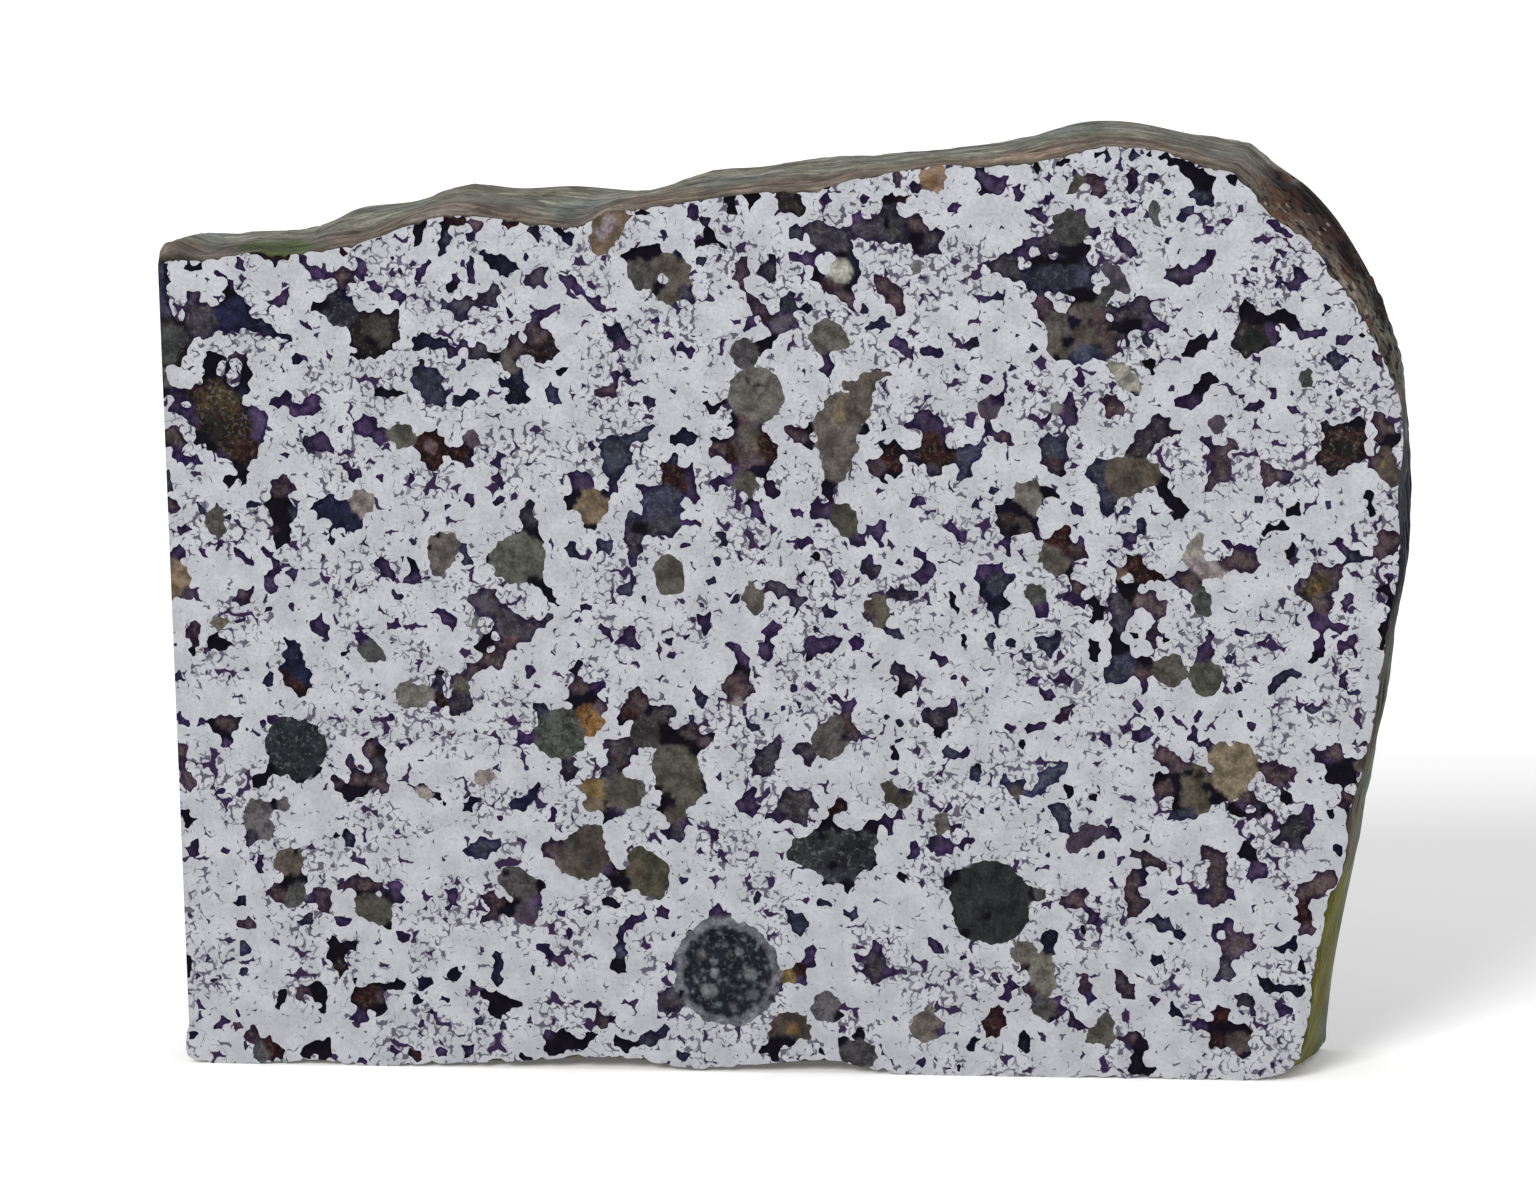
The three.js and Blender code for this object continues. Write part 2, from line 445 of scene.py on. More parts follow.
# Each kind of inclusion: its tone, how far metal grains bite into it, how far its corners reach out between
# them, and its share of crystals and of rust.
KINDS = {
    "k": (ink(13, 8, 21), 0.075, 0.28, 0, 0),  # soot black
    "b": (ink(22, 24, 43), 0.07, 0.26, 0.15, 0),  # blue black
    "s": (ink(52, 54, 68), 0.06, 0.25, 0.35, 0),  # slate
    "d": (ink(58, 55, 62), 0.06, 0.22, 0.4, 0),  # dark violet grey
    "v": (ink(60, 48, 73), 0.07, 0.28, 0.2, 0),  # violet black
    "n": (ink(74, 62, 65), 0.065, 0.25, 0.4, 0.1),  # brown
    "e": (ink(32, 26, 26), 0.08, 0.28, 0.5, 0.15),  # dark grainy brown
    "r": (ink(43, 21, 23), 0.06, 0.25, 0.3, 0.35),  # rust
    "R": (ink(36, 29, 30), 0.08, 0.31, 0.6, 0.5),  # dark rust
    "Y": (ink(62, 56, 38), 0.06, 0.16, 0.8, 0.4),  # olive rust
    "y": (ink(118, 99, 66), 0.04, 0.11, 0.1, 0.1),  # golden rust
    "a": (ink(112, 80, 44), 0.04, 0.11, 0.8, 0.5),  # amber
    "t": (ink(108, 95, 80), 0.035, 0.1, 0, 0.05),  # tan
    "P": (ink(152, 148, 140), 0.03, 0.06, 0, 0),  # white
    "p": (ink(124, 119, 116), 0.04, 0.08, 0, 0),  # pale beige
    "g": (ink(74, 72, 73), 0.025, 0.06, 0.3, 0),  # grey chondrule
    "G": (ink(81, 78, 75), 0.015, 0.03, 0.2, 0),  # large grey chondrule
    "q": (ink(65, 57, 68), 0.02, 0.04, 0.1, 0),  # violet grey chondrule
    "o": (ink(78, 73, 67), 0.04, 0.1, 0.15, 0.05),  # olive grey
    "L": (ink(86, 83, 77), 0.03, 0.07, 0.15, 0),  # pale olive grey
    "O": (ink(74, 73, 62), 0.03, 0.07, 0.1, 0),  # pale olive
    "D": (ink(38, 34, 32), 0.05, 0.2, 0.35, 0),  # dark olive fragment
    "K": (ink(37, 39, 40), 0.02, 0.04, 0.12, 0),  # near-black chondrule
    "S": (ink(44, 45, 50), 0.04, 0.08, 0.5, 0),  # speckled slate chondrule
    "Z": (ink(74, 75, 70), 0.03, 0.07, 0.5, 0),  # speckled green-grey chondrule
    "m": (ink(105, 105, 113), 0.02, 0.04, 0.35, 0),  # pale rim of the large chondrule
    "c": (ink(30, 33, 42), 0.0, 0, 0.4, 0),  # its dark core
    "w": (ink(98, 101, 105), 0.0, 0, 0, 0),  # a pale bead in that core
}

CLEAR_EDGED = "gGqoLOptyaPZKSmcw"  # the kinds without a dark edge

# The polished face's inclusions, from the top left to the bottom right. Each is its kind's letter and then
# x, z and radius for every bead along its middle, and a later one lies over an earlier one.
FACE_INCLUSIONS = """
s -22.9 29.7 .3 -22.85 29 .36 -22.85 28.2 .32; k -22.6 29.7 .1 -22.6 29.3 .12
D -22.5 27.1 .7 -22.5 26.6 .6; g -22.4 27.1 .5 -22.6 26.5 .4; b -20.1 27.95 .7
d -21.6 28.3 .35 -21.4 27.85 .55 -21 27.5 .35; k -20.2 28.75 .2; v -20.1 29.1 .1
v -20.65 29.5 .12 -20.4 29.3 .08; b -19.4 27.5 .22 -18.9 27.35 .16 -18.3 27.2 .12 -17.95 27.15 .06
v -18.5 28.4 .18 -18.1 28.5 .14 -18 28.9 .1; r -19.4 30.25 .08 -18.6 30.15 .12 -17.9 30.2 .1
b -18.5 29.9 .14; k -21.8 29.75 .15 -21.4 29.7 .1; v -19.8 29.9 .15 -19.7 29.7 .1
v -17.35 30 .12 -17.25 29.7 .12; v -17 29.5 .1 -16.6 29.4 .18; n -16.1 29.35 .26 -15.8 29.35 .32
v -15.3 29.9 .18 -15.2 29.4 .15; r -15.9 30.25 .12; v -14.8 29 .2; v -14.1 28.7 .15 -13.9 28.65 .28
S -16.1 28.15 .6; k -17 28.25 .1 -16.6 28.35 .2; b -16 28.7 .2 -15.7 28.5 .15; D -14.85 27.2 .85
o -14.75 27.45 .5 -14.5 27 .35; k -15.05 27.1 .14 -14.75 26.85 .1; D -14.1 27.8 .25
k -15.7 26.45 .08 -15.2 26.35 .12; v -17.4 27.6 .15 -17.2 27.4 .1; b -17.9 26.4 .06 -17.75 26.2 .15
v -22.4 25 .14 -21.9 24.9 .22; v -22.4 24.5 .18 -21.9 24.2 .22
k -21.1 26.6 .1 -20.8 26.5 .15 -21.05 26.1 .22 -21.1 25.7 .28
R -21.7 25 .3 -20.9 24.9 .75 -20.6 24.1 .95 -20.1 23.4 .75 -19.7 22.9 .42
Y -21.2 24.8 .35 -20.6 24.9 .4 -20.2 24.4 .3; D -21 23.9 .4 -20.7 23.5 .3; k -21.4 23.4 .2 -21 23 .15
v -19.5 24.4 .2 -19.3 23.5 .3; r -19.9 22.9 .35; b -20 25.1 .15; b -20.4 26 .12
n -20.05 26.45 .16 -19.75 26.25 .12; k -19.7 26.2 .1 -19.6 25.7 .1 -19.8 25.3 .12; s -20.4 25.3 .08
n -22.55 23.4 .45; v -22.4 23 .15; k -23 25.3 .2 -22.8 25 .15; g -23 25.5 .3
v -18.55 24.7 .15 -18.2 24.85 .15; v -17.9 24.5 .1 -17.2 24.6 .35; v -17.7 23.7 .08; v -16.2 23.75 .12
v -17.4 23.25 .2 -17.1 23.15 .35 -16.7 23.05 .2; v -15.2 23.85 .42 -14.6 23.3 .15; L -13.9 23.5 .44
r -12.75 23.15 .52 -12.75 22.65 .4; n -12.8 23.1 .25; q -11.3 23.4 .32; k -12 22.8 .1 -11.6 22.9 .28
v -10.3 22.8 .12; s -13.1 25.7 .35 -12.6 25.6 .35 -12.75 25 .35 -12.3 24.75 .2
k -14.8 25.05 .1 -14.2 25.1 .15 -13.7 25.1 .08; s -11.8 24.8 .1 -11.4 24.9 .15 -11.05 25 .12
s -11.6 26.1 .12; b -13.15 27 .22 -12.7 26.9 .22 -12.35 26.95 .2; r -13.05 26.2 .12
v -12 26.5 .15 -11.5 26.9 .15; d -10.95 26.55 .32; k -10.3 26.4 .2; o -9.9 26.5 .2 -9.75 26 .2
n -9.6 27 .3 -9.5 26.6 .3; e -8.55 26.8 .62; n -8.75 27.25 .4; k -8.6 26.7 .12
v -8.8 27.8 .15 -8.4 28.1 .1 -8.1 28.3 .06; b -9.9 25.4 .2 -9.4 25.5 .25 -9.3 24.9 .25 -9.8 24.85 .25
s -8.25 25.4 .12 -8.15 24.9 .2; k -7.75 26 .12
b -10.75 30.3 .1 -10.3 30 .25 -9.9 29.65 .34 -9.55 29.75 .22; s -9 30.1 .12
d -8.9 29.2 .2 -8.5 29.5 .2 -8.2 29.7 .1; v -7.6 29.3 .15 -7.3 29.1 .1
d -11.4 28.35 .12 -10.9 28.4 .18 -10.4 28.55 .24 -10.15 28.85 .15; v -9.8 28.1 .12
s -12.2 28.3 .12 -11.8 28.3 .2 -11.5 28 .2 -11.25 27.8 .08; k -11.85 28.95 .12
v -11.15 29.6 .1 -11.1 29.3 .1; s -11.15 30 .08 -11.1 29.8 .06
v -13.2 29.3 .08 -12.9 29.6 .15 -12.75 29.85 .06; v -14.05 30 .12; v -13.75 29.5 .1
v -11.75 29.4 .1 -11.6 29.2 .08; k -12.05 31.3 .1 -12 30.95 .15; s -11.9 30.8 .15
b -12.2 30.5 .12 -12.25 30.15 .1; k -13 31.25 .12 -13 30.85 .12 -13.25 30.3 .05; s -11.2 30.9 .12
r -12 31.55 .1 -11.4 31.5 .1; n -10.85 31.25 .15; r -9.9 31.4 .1 -9.5 31.3 .14 -9.2 31.4 .1
s -8.7 31.1 .15 -8.6 30.85 .15; k -7.8 31.1 .15; b -7.5 30.8 .2
t -5.4 31.55 .22 -6 31.3 .5 -6.2 30.8 .5 -6.1 30.3 .15; p -5.9 31.4 .28 -6.2 31 .25
k -4.8 31.75 .12 -4.5 31.75 .1; v -2.8 32 .1 -2.85 31.6 .12
k -1.5 32.4 .08 -1.5 32.2 .25 -1.35 31.9 .15; k -.8 32.45 .1 -.5 32.3 .12 -.7 31.9 .1
D .4 32.3 .2 .8 32.15 .42 1 31.95 .3; k .9 31.75 .12; v .2 31.6 .08; s -2.25 31.5 .12
k -2.15 31 .1 -2.1 30.65 .12 -2.6 30.55 .08; k -1.7 30.5 .1; s -3.85 30.9 .12
k -5.2 30.2 .2 -4.6 30.15 .3 -4.2 30.2 .15; g -4.75 29.45 .52; s -3.4 30.2 .15; s -2.5 29.9 .15
o -3.9 29.8 .35 -3.45 29.6 .45 -3.4 29 .4 -3.75 28.6 .3; b -3.4 30.2 .12; d -3.2 28.8 .3 -3 28.5 .1
k -4.1 29 .15; n -1 29.9 .2 -1.05 29.5 .24 -1.1 29.1 .1; d -.15 29.6 .28 .1 29.45 .12; b .05 30 .15
v .9 30.1 .12 1.4 30.1 .25 1.5 29.8 .1; s 1.05 30.9 .2; d 1.5 31.2 .2 1.9 31 .42
d 2.55 30.8 .42 2.25 30.5 .3; d 2.9 30.5 .2; k 2.7 30.15 .15; s 3.1 29.9 .2
n 2 29.1 .22 2.5 28.9 .32 2.9 28.6 .25 2.95 28.3 .1; b 3 30.15 .14 3.15 29.7 .12 3.1 29.2 .12
P 2.6 29.58 .42; k 2.85 29 .2; k 1.75 29.4 .2; d 4.4 31.9 .25 4.4 31.4 .5 4.7 30.9 .3
d 4 31.1 .35 3.4 31.1 .25 3.1 31 .2; k 4.3 31.5 .12 4.35 31.2 .12; v 3.25 31.55 .2; k 4.4 32.25 .2
n 4.75 33 .2 4.8 32.7 .1; r 5 32.2 .15; v 3.5 32.25 .15; v 2.15 32.15 .15; k 2.3 32.75 .08
t 6.3 33.2 .3 5.95 32.95 .4 6.2 32.7 .25; y 6 32.9 .22; v 5.35 32.65 .15; k 7.9 33 .3 8 32.7 .2
v 6.9 31.9 .18; n 5.45 31.4 .28 5.6 31.2 .2; d 6 30.55 .36 6.35 30.9 .12; k 5.55 30.8 .24
k 5.5 30.45 .15; p 5.5 29.75 .22; n 4 29.2 .2 4.4 28.9 .3 4.65 28.4 .25 4.75 28.15 .1; s 4.8 28.8 .1
s 3.45 28.3 .12; n -.8 28.5 .12 -.5 28.3 .26 -.2 28 .15; s .8 28.8 .12 .6 28.55 .26; b 1.35 28.3 .2
d .05 27.6 .2 .3 27.65 .28 .7 27.7 .2; k .1 27.2 .1 -.1 26.95 .2 -.35 26.8 .1; v -.75 27.7 .2
L 2.05 27.2 .62 2.55 27 .3; v 2.05 26.5 .1 1.95 26.1 .25; s 3.6 27.6 .12 4.05 27.7 .25 4.25 27.6 .12
v 4.6 26.85 .25 4.8 27 .12; v 5.1 26.5 .15; v 5.75 26.7 .15 6.05 26.6 .2; s 7.3 26.9 .15 7.6 27 .15
v 7.95 25.7 .2; s 7.9 28.6 .18; v 6.8 26.1 .12; v -7.1 28.8 .18; v -7.4 29.3 .2
v -6.6 28.6 .12 -6.35 28.35 .2; v -6.1 27.5 .15; b -5.7 27.25 .27; v -5.5 26.85 .25 -5.9 26.75 .12
v -3.4 26.75 .15 -3 26.65 .15; v -3.9 27.2 .15; v -4.35 27.8 .12
n -6.4 25.15 .2 -5.9 25.3 .15 -6 24.9 .1; v -5.9 25.7 .12; s -5.3 25.8 .12; s -3.75 25.25 .1
s -4.7 24.9 .12 -4.5 24.6 .12; s -5.25 24.8 .12; k -2.6 24.75 .08 -2.2 24.55 .15 -1.9 24.7 .1
g -1.05 26.6 .5; G -.65 25.05 1.03; k -.85 25.6 .1; k -.55 25.45 .11; k -.7 25.2 .08
n -1.2 24 .25 -.9 23.5 .6 -.9 22.9 .5; o -.95 23.5 .45; t -.7 23.2 .15; r -.35 23.3 .35 -.2 22.9 .3
k -1.5 23.9 .15 -1.45 24.2 .1; n .6 23.8 .15 .9 23.6 .3; k 1.25 23.8 .15; k 1.2 23.2 .12
L 2.3 24.7 .45 2.3 23.9 .78 2.3 23.3 .75 2.3 22.7 .55 2.2 22.2 .35; t 2.6 24.75 .3 2.45 24.2 .25
o 2.75 25.4 .1 3.1 25.4 .25; o 3.1 24.6 .48 3.35 25.2 .36 3.6 25.65 .28 3.9 25.75 .18 4.2 25.75 .06
v 5.1 24 .2 5.7 24.2 .35 6.1 24 .25 6.2 23.6 .2; r 5.8 23.45 .35; k 5.75 22.95 .32 6.3 22.95 .32
r 6 23.2 .15; k 4.1 23.15 .2; r 4.35 22.6 .28; y 4.15 22.72 .2; d 5.15 22.85 .32
n 8.3 23.6 .2 8.6 23.4 .15; s 7.2 23 .4 7.6 23.2 .15; v 7.2 24.1 .18; q 7.95 24.6 .37
v 8.15 24.9 .2 8.45 25 .08; v 7.9 23.8 .2; k 4.05 23.9 .15; k 3.35 23.7 .15
b -3.7 23.4 .2 -3.35 23.55 .3 -3 23.4 .2; s -5.35 23.4 .2; s -4.9 23.5 .2; v -6.8 23.1 .15
n -2.1 23 .28; k -2.2 23.3 .12 -1.9 23.3 .06; r -1.6 22.85 .25; s -4.6 23.8 .12
v 7.8 33.1 .15 8.1 32.9 .3 8.5 32.75 .2; v 7.75 32.5 .12; v 8.7 32.9 .15; k 9.9 33.4 .2
v 9.15 32.5 .2 9.2 32.2 .12; v 10.35 32.25 .15; v 9.6 31.75 .12 9.85 31.7 .25 10 31.5 .12
d 10.25 30.55 .28; g 11.08 31.15 .67; k 10.7 30.4 .12 11.2 30.3 .2 11.7 30.5 .1
v 12.1 31.1 .08 11.95 30.9 .12; s 9.7 29.3 .5 10.4 29.4 .6 11.1 29.6 .55 11.5 29.6 .4
s 11.5 29.4 .3 11.6 29.2 .2; k 9.8 29.9 .15 10.5 29.9 .12 11.3 30.05 .15
d 7.9 29.9 .1 8.4 29.8 .3 8.8 29.8 .4 8.9 29.4 .2; d 8.8 29.9 .25 9 30.1 .2
v 9.35 30.3 .25 9.5 30.7 .12 9.9 30.75 .08; k 11.2 28.8 .2 11.5 28.7 .3 12 28.7 .1
k 11.4 28.6 .25 11.3 28.3 .3; L 11.4 28.08 .37; n 10 28.3 .3 10.25 28.1 .3; k 11.1 27.7 .3
L 10.5 27.75 .4 10.65 27.45 .32; o 10.3 26.8 .2 10.5 27 .35 10.9 26.7 .3; k 10.85 27 .2; k 10.5 26.6 .1
s 9.7 26.8 .12; k 11.85 27.7 .2; o 11.5 27.38 .32 11.85 27.3 .2; s 11.3 26.5 .3 11.9 26.6 .2
g 12.1 28.5 .2 12.4 28.9 .2 12.6 29.1 .1; n 12 28 .25 12.1 27.6 .3
q 12.3 29.8 .15 12.65 29.5 .3 12.95 29.15 .22 13.1 28.95 .1; d 12.8 28.1 .3 13.4 28.3 .3 13.8 28.4 .15
d 13.4 28.2 .3 13.6 27.9 .25 13.9 28.1 .15; k 12.5 27.5 .2 13 27.7 .2 13.5 27.75 .15
n 12.5 27.2 .3 12.4 26.8 .25; s 13.1 27 .12; v 14 27.6 .15 14.5 27.6 .1; s 13.85 27 .18
k 13.9 26.25 .22 14 26 .1; p 12.6 26.05 .26 12.85 25.95 .32 13.1 25.5 .32 13.35 25.35 .18
k 13.3 25.15 .12; n 12.3 24.9 .25 12.6 24.7 .3 12.7 24.4 .15; n 12.4 24.7 .25 12.3 24.3 .12
v 11.3 25.7 .2 11.4 25.5 .15; v 9.55 25.35 .15; v 8.8 26.1 .12; p 10.35 24.7 .2; v 10 24.3 .12
v 10.9 25.1 .12 10.9 24.7 .08 10.8 24.2 .2; s 10.1 23.3 .35 10.3 22.9 .5
s 10.3 22.9 .5 10.55 23.3 .3 10.7 23.7 .12; d 14.2 24 .4 13.9 23.6 .4 13.5 23.3 .35 13.3 22.9 .3
k 13.3 22.7 .25; v 14.7 23.7 .1; k 15.6 25.3 .15 15.9 25.6 .2 16.2 25.6 .1
v 14.9 24.9 .2 15.2 24.9 .25 15.6 25 .2; q 16.3 24.1 .33; v 15.9 23.4 .2
n 16.3 22.8 .45 16.4 22.4 .4 16.1 22.1 .25 16 21.8 .15; n 16.3 22.9 .3 16.6 23.2 .2; D 17.6 27.15 .62
D 17.1 27.1 .2; K 17.65 27.1 .4; k 17.4 28.6 .08 17.45 28.1 .2 17.8 27.8 .22
k 18.4 27.9 .15 18.6 28.1 .15 18.9 27.8 .2 19.2 27.6 .12; v 18.3 27.5 .2 18.45 27.2 .25
v 19.4 27.4 .12 19.8 27.3 .2 20.3 27.45 .1; v 20.9 27.2 .15 21.2 27.3 .12; k 21.6 27.3 .12
k 15.1 26.6 .1 15.5 26.9 .25 15.7 27.1 .15; s 16.3 27.35 .12; d 14.7 29.5 .2 15.1 29.4 .35
v 15.3 29.5 .2 15.6 29.7 .15 16 30.05 .15 16.2 30.3 .08; v 19.05 29.05 .22 19.4 29.3 .25 19.2 29.5 .12
v 18.5 29.1 .12; v 17.4 29.2 .15; v 17.65 29.7 .1; v 18.75 30.3 .15
v 18.4 31.3 .1 18.6 31.1 .08 18.9 31 .15; s 20.4 28.3 .08 20.2 28 .06; s 20.7 26.4 .3 20.6 26.7 .15
g 19.55 25.75 .28; v 18.35 25.2 .15; v 17.2 25.05 .1; n 22.1 26.5 .2 22.3 26.3 .12; s 20.8 25.3 .08
v 17.5 24.6 .15 17.9 24.75 .12; v 19 24.6 .15 19.3 24.5 .08; R 20.2 24 .22 20.6 23.6 .5 20.5 22.9 .6
R 20.6 23.4 .55 21.2 23.1 .48 21.4 23.9 .22; e 20.8 23.2 .4; k 21.4 24.1 .25
n 22.2 24.2 .3 22.4 23.8 .35; k 22.6 23.5 .3; v 12.7 31 .15 12.75 30.8 .2 13.1 30.4 .2 13.4 30.4 .1
v 12.6 31.7 .12; v 13.3 31.85 .12 13 31.6 .06; v 11.4 31.7 .12; v 14.6 30.8 .06 14.6 30.6 .1
v 16.2 31.1 .08; v 16.75 31.45 .12; g 14.2 32 .18 14.2 31.7 .2 14.3 31.3 .1
s 15.6 32.3 .12 16 32.3 .25 16.2 32.15 .2; s 15.35 31.75 .2 15.1 31.5 .12
k 14.7 33.7 .15 15 33.55 .2 15.4 33.35 .2 15.7 33.1 .25 16 32.8 .25; k 16.9 33 .15 17.1 32.85 .12
v 13.4 33 .25 13.3 32.8 .15 13.3 32.5 .08; s 13.4 33.75 .15; s 12.5 33.7 .15; k 14 33.8 .1
n 11.8 33 .15 12.1 32.8 .25 12.15 32.5 .25; o 11.5 32.9 .15 11.2 32.6 .15 11 32.45 .08; s 11.35 33.2 .1
k 11 33.6 .15 10.8 33.55 .1; k 12.1 33.85 .12; s 14.15 32.9 .15; s 14.7 32.45 .1; s 8.4 28.75 .15
s 8.25 27.4 .12
v -22.4 22.6 .15 -22 22.6 .15 -21.6 22.5 .12; v -20.8 22.75 .15
k -20.1 22.5 .1 -20 22.1 .2 -19.9 21.75 .12; k -20.6 21.7 .12 -20.3 21.9 .1
s -22.9 22 .15 -22.8 21.5 .2; n -22.75 20.8 .28; v -18.3 22.75 .12
v -16.2 22.4 .1 -15.9 22.2 .22 -15.75 22 .18; v -14.8 22 .15; v -13.6 21.8 .15; r -11.7 22.85 .3
n -11.4 22.5 .2; v -10.5 22.55 .1 -10.2 22.8 .1; v -10.4 22.1 .08 -10.2 21.8 .2
v -10.4 21.1 .15 -10.1 21.2 .08; v -11.4 21.2 .22; s -12.3 20.9 .12; n -18.5 21.6 .4
k -18.55 20.9 .35 -18.5 20.3 .35 -18.6 19.7 .3; s -18.1 20.7 .2; k -19 20.9 .1; n -18.9 20 .15
v -19.2 19.2 .15; v -18.7 18.8 .15; s -19.6 20.9 .1 -19.4 20.9 .12
g -21 20.8 .15 -21.1 20.3 .36 -20.9 19.9 .25; s -21.65 20.75 .15; s -20.5 20.4 .08; v -20.9 19.4 .1
v -22.4 20 .12 -22.1 20 .1; v -20.3 19.2 .12 -20 19 .12 -19.8 18.8 .06; v -21.5 19.1 .12
b -17.2 20.9 .2 -16.8 20.9 .38 -16.3 20.8 .35 -15.9 20.7 .2
b -16.4 20.3 .25 -15.9 20.3 .3 -15.85 20 .15; b -16.75 20.1 .06 -16.8 19.6 .08; p -15.5 21.05 .48
t -22.7 18.2 .62 -22.8 17.8 .4; y -22.75 17.9 .25; q -22.2 17.6 .25; v -22.8 19 .12 -22.4 19.1 .2
v -19.1 18.2 .22 -19 17.9 .15; v -18.2 18.3 .12 -18 18.5 .08; v -15.85 18 .12; v -16.45 17.6 .1
v -18.3 17.1 .12; v -19.1 17 .12; n -20.1 17.4 .28; v -20.5 17.4 .08; v -19.8 17.85 .1
v -14.9 18.8 .2 -14.6 18.5 .25 -14.4 18.3 .15; v -13.8 18.1 .12 -13.5 18.2 .25
k -13.8 18.8 .1 -13.6 18.7 .12; v -14.2 17.6 .18; s -13.6 19.6 .12
L -12.2 19.6 .3 -12.6 19.5 .4 -12.5 19.1 .5 -12.7 18.7 .3; s -11.7 19.4 .1 -11.6 18.95 .15
k -12.7 19.8 .12; k -13 19.4 .1; L -9.9 18.9 .75 -9.4 19.1 .72; L -9.8 18.6 .5 -9.3 18.8 .6
k -9.1 19.9 .2 -8.85 19.85 .12; d -9.1 20.2 .12 -9.3 20.6 .3 -9.1 21 .15
k -9.2 18.2 .15 -8.8 17.9 .15 -8.5 17.5 .15 -8.3 17.2 .06; k -10.8 19 .1; s -7.7 19.4 .2 -7.5 19.2 .15
v -7.4 22 .25; k -7.9 21.3 .08 -7.7 21 .15; d -11.1 17.4 .4 -10.7 17.2 .4 -10.3 16.8 .45 -9.9 16.4 .5
d -9.9 16.4 .5 -9.4 16.5 .35 -9 16.6 .2 -8.7 16.7 .08; n -10.8 17.7 .25; n -10 15.9 .3 -10.3 15.8 .3
k -11.1 15.7 .2 -10.9 15.9 .2; n -10.4 15.3 .2 -10.9 15.1 .22 -11.4 14.9 .14 -11.7 14.7 .1
p -11.35 16.6 .15; v -9.4 14.85 .18; v -12.7 17 .15 -12.4 16.8 .22 -12.2 16.6 .1; v -12.95 17 .08
v -14.5 16.4 .15 -14.2 16.5 .1; v -17.3 16.6 .2 -17.1 16.35 .25 -16.9 16.1 .1; v -15.7 16 .25
g -15.4 15.5 .38 -15 15.3 .2; k -16.3 15.4 .12; n -22 16.4 .25 -22.1 16 .2 -21.8 15.8 .1
k -22.1 15.4 .1; o -21.1 16.5 .2 -20.8 16.6 .15; k -21.1 15.8 .32 -20.8 15.7 .2; v -20.2 16.6 .12
b -18.3 15.7 .25 -18.3 15.1 .4 -18 14.7 .35 -17.7 14.4 .15
r -18.6 14.5 .15 -18.2 14.2 .2 -17.9 13.9 .12; s -19.3 14.3 .22; s -22.8 14.5 .15 -22.5 14.4 .1
s -21.5 14.7 .08; s -20.75 14.45 .06; L -13.9 13.9 .5 -13.4 13.9 .35; s -12.8 14.3 .25; k -12.7 14.8 .1
L -12 14.3 .3; r -12.7 13.7 .25; d -12.1 13.8 .3 -12.1 13.3 .2; d -11.7 13.6 .15; s -11.2 13.8 .08
v -13.6 15.1 .1; s -15.1 14.3 .08; s -16.3 14.6 .08; v -15.9 13.2 .1; v -14.75 13 .15; r -15.3 11.9 .3
v -15.2 12.1 .15; k -15.1 11.9 .12; v -14.3 11.95 .15; v -16.2 11.5 .1; v -13.6 11.5 .08
n -20.9 12.8 .35 -20.6 12.7 .3; k -21.2 12.5 .2 -20.8 12.3 .2; v -20.9 12 .2; k -21.5 12.7 .1
v -19.8 12.5 .08; v -19.6 12.8 .08; v -19.1 13 .1; v -22.7 12.8 .1 -22.4 12.7 .15; v -21.9 12.7 .08
v -22.7 13.1 .08; v -9.7 12.3 .25 -9.4 12.4 .2; s -9 13.4 .25; n -22.8 11.5 .25; S -18.3 11.9 1.1
Z -8.3 12.5 .95
s -6.1 23.1 .45 -5.8 22.8 .55 -5.95 22.2 .35 -6 21.9 .2; v -6 21.7 .2 -5.95 21.45 .1
v -7.3 22.1 .25 -7.05 21.9 .25; t -6.9 20.95 .6; k -7.4 21.4 .15; k -6.35 21.35 .12; k -6.85 20.15 .15
k -7.8 21.1 .12 -7.5 21.1 .1; v -4.9 21.6 .2; r -3.9 22.1 .38 -3.45 22 .35
v -3.2 22.3 .15 -3.15 21.8 .2 -3.05 21.3 .2; k -3.7 21.8 .1; s -4.25 21 .75
k -4.45 20.45 .15 -4.2 20.45 .1; d -4.4 20.2 .35 -4 20.2 .4; s -5.3 20.4 .25; k -5.1 20.1 .25
d -5.3 19.6 .3; v -3.4 20.4 .12 -3.1 20.4 .1; n -2.95 20.3 .12; s -3.8 22.7 .15
k -.8 22.3 .2 -.4 22.3 .2; o -1.1 21.9 .4 -1 21.5 .2; v -1.7 22 .12 -1.5 22.3 .1
v -.1 21.8 .15 -.05 21.4 .2; k -1.05 21.1 .15; v -.75 20.8 .25 -.6 20.6 .2
v -2.3 21.85 .15 -1.9 21.9 .1; s -2.2 19.9 .1 -1.95 19.9 .15 -1.95 19.6 .15; s -2.3 19 .12
v -1.4 19.05 .1; v -.6 19.5 .12; k 2 21.8 .2 2.05 21.45 .15; n 3.5 22.6 .2 3.9 22.4 .25; r 4.3 22.8 .35
k 4.6 23 .2; k 4 22 .12; k 4.3 22.2 .1; r 5.5 22.8 .3 6 22.9 .35 6.4 22.8 .25; d 5.85 22.3 .25
s 7 22.4 .25 6.9 22.1 .1; s 8 21.65 .12; v 1.5 20.9 .3 1.8 20.85 .3; v .85 20.7 .2
o 2.2 20.8 .2 2.5 20.55 .5 2.7 20.2 .32; v 3 19.7 .25; v 3.5 20.1 .25 3.7 20 .2 3.95 20.3 .15
v 3.8 19.6 .1; v 5.2 21.15 .2; v 7.4 21.05 .12; v 6.5 20.2 .2 6.9 19.9 .12; v 5.2 19.3 .2; v 4.5 19 .08
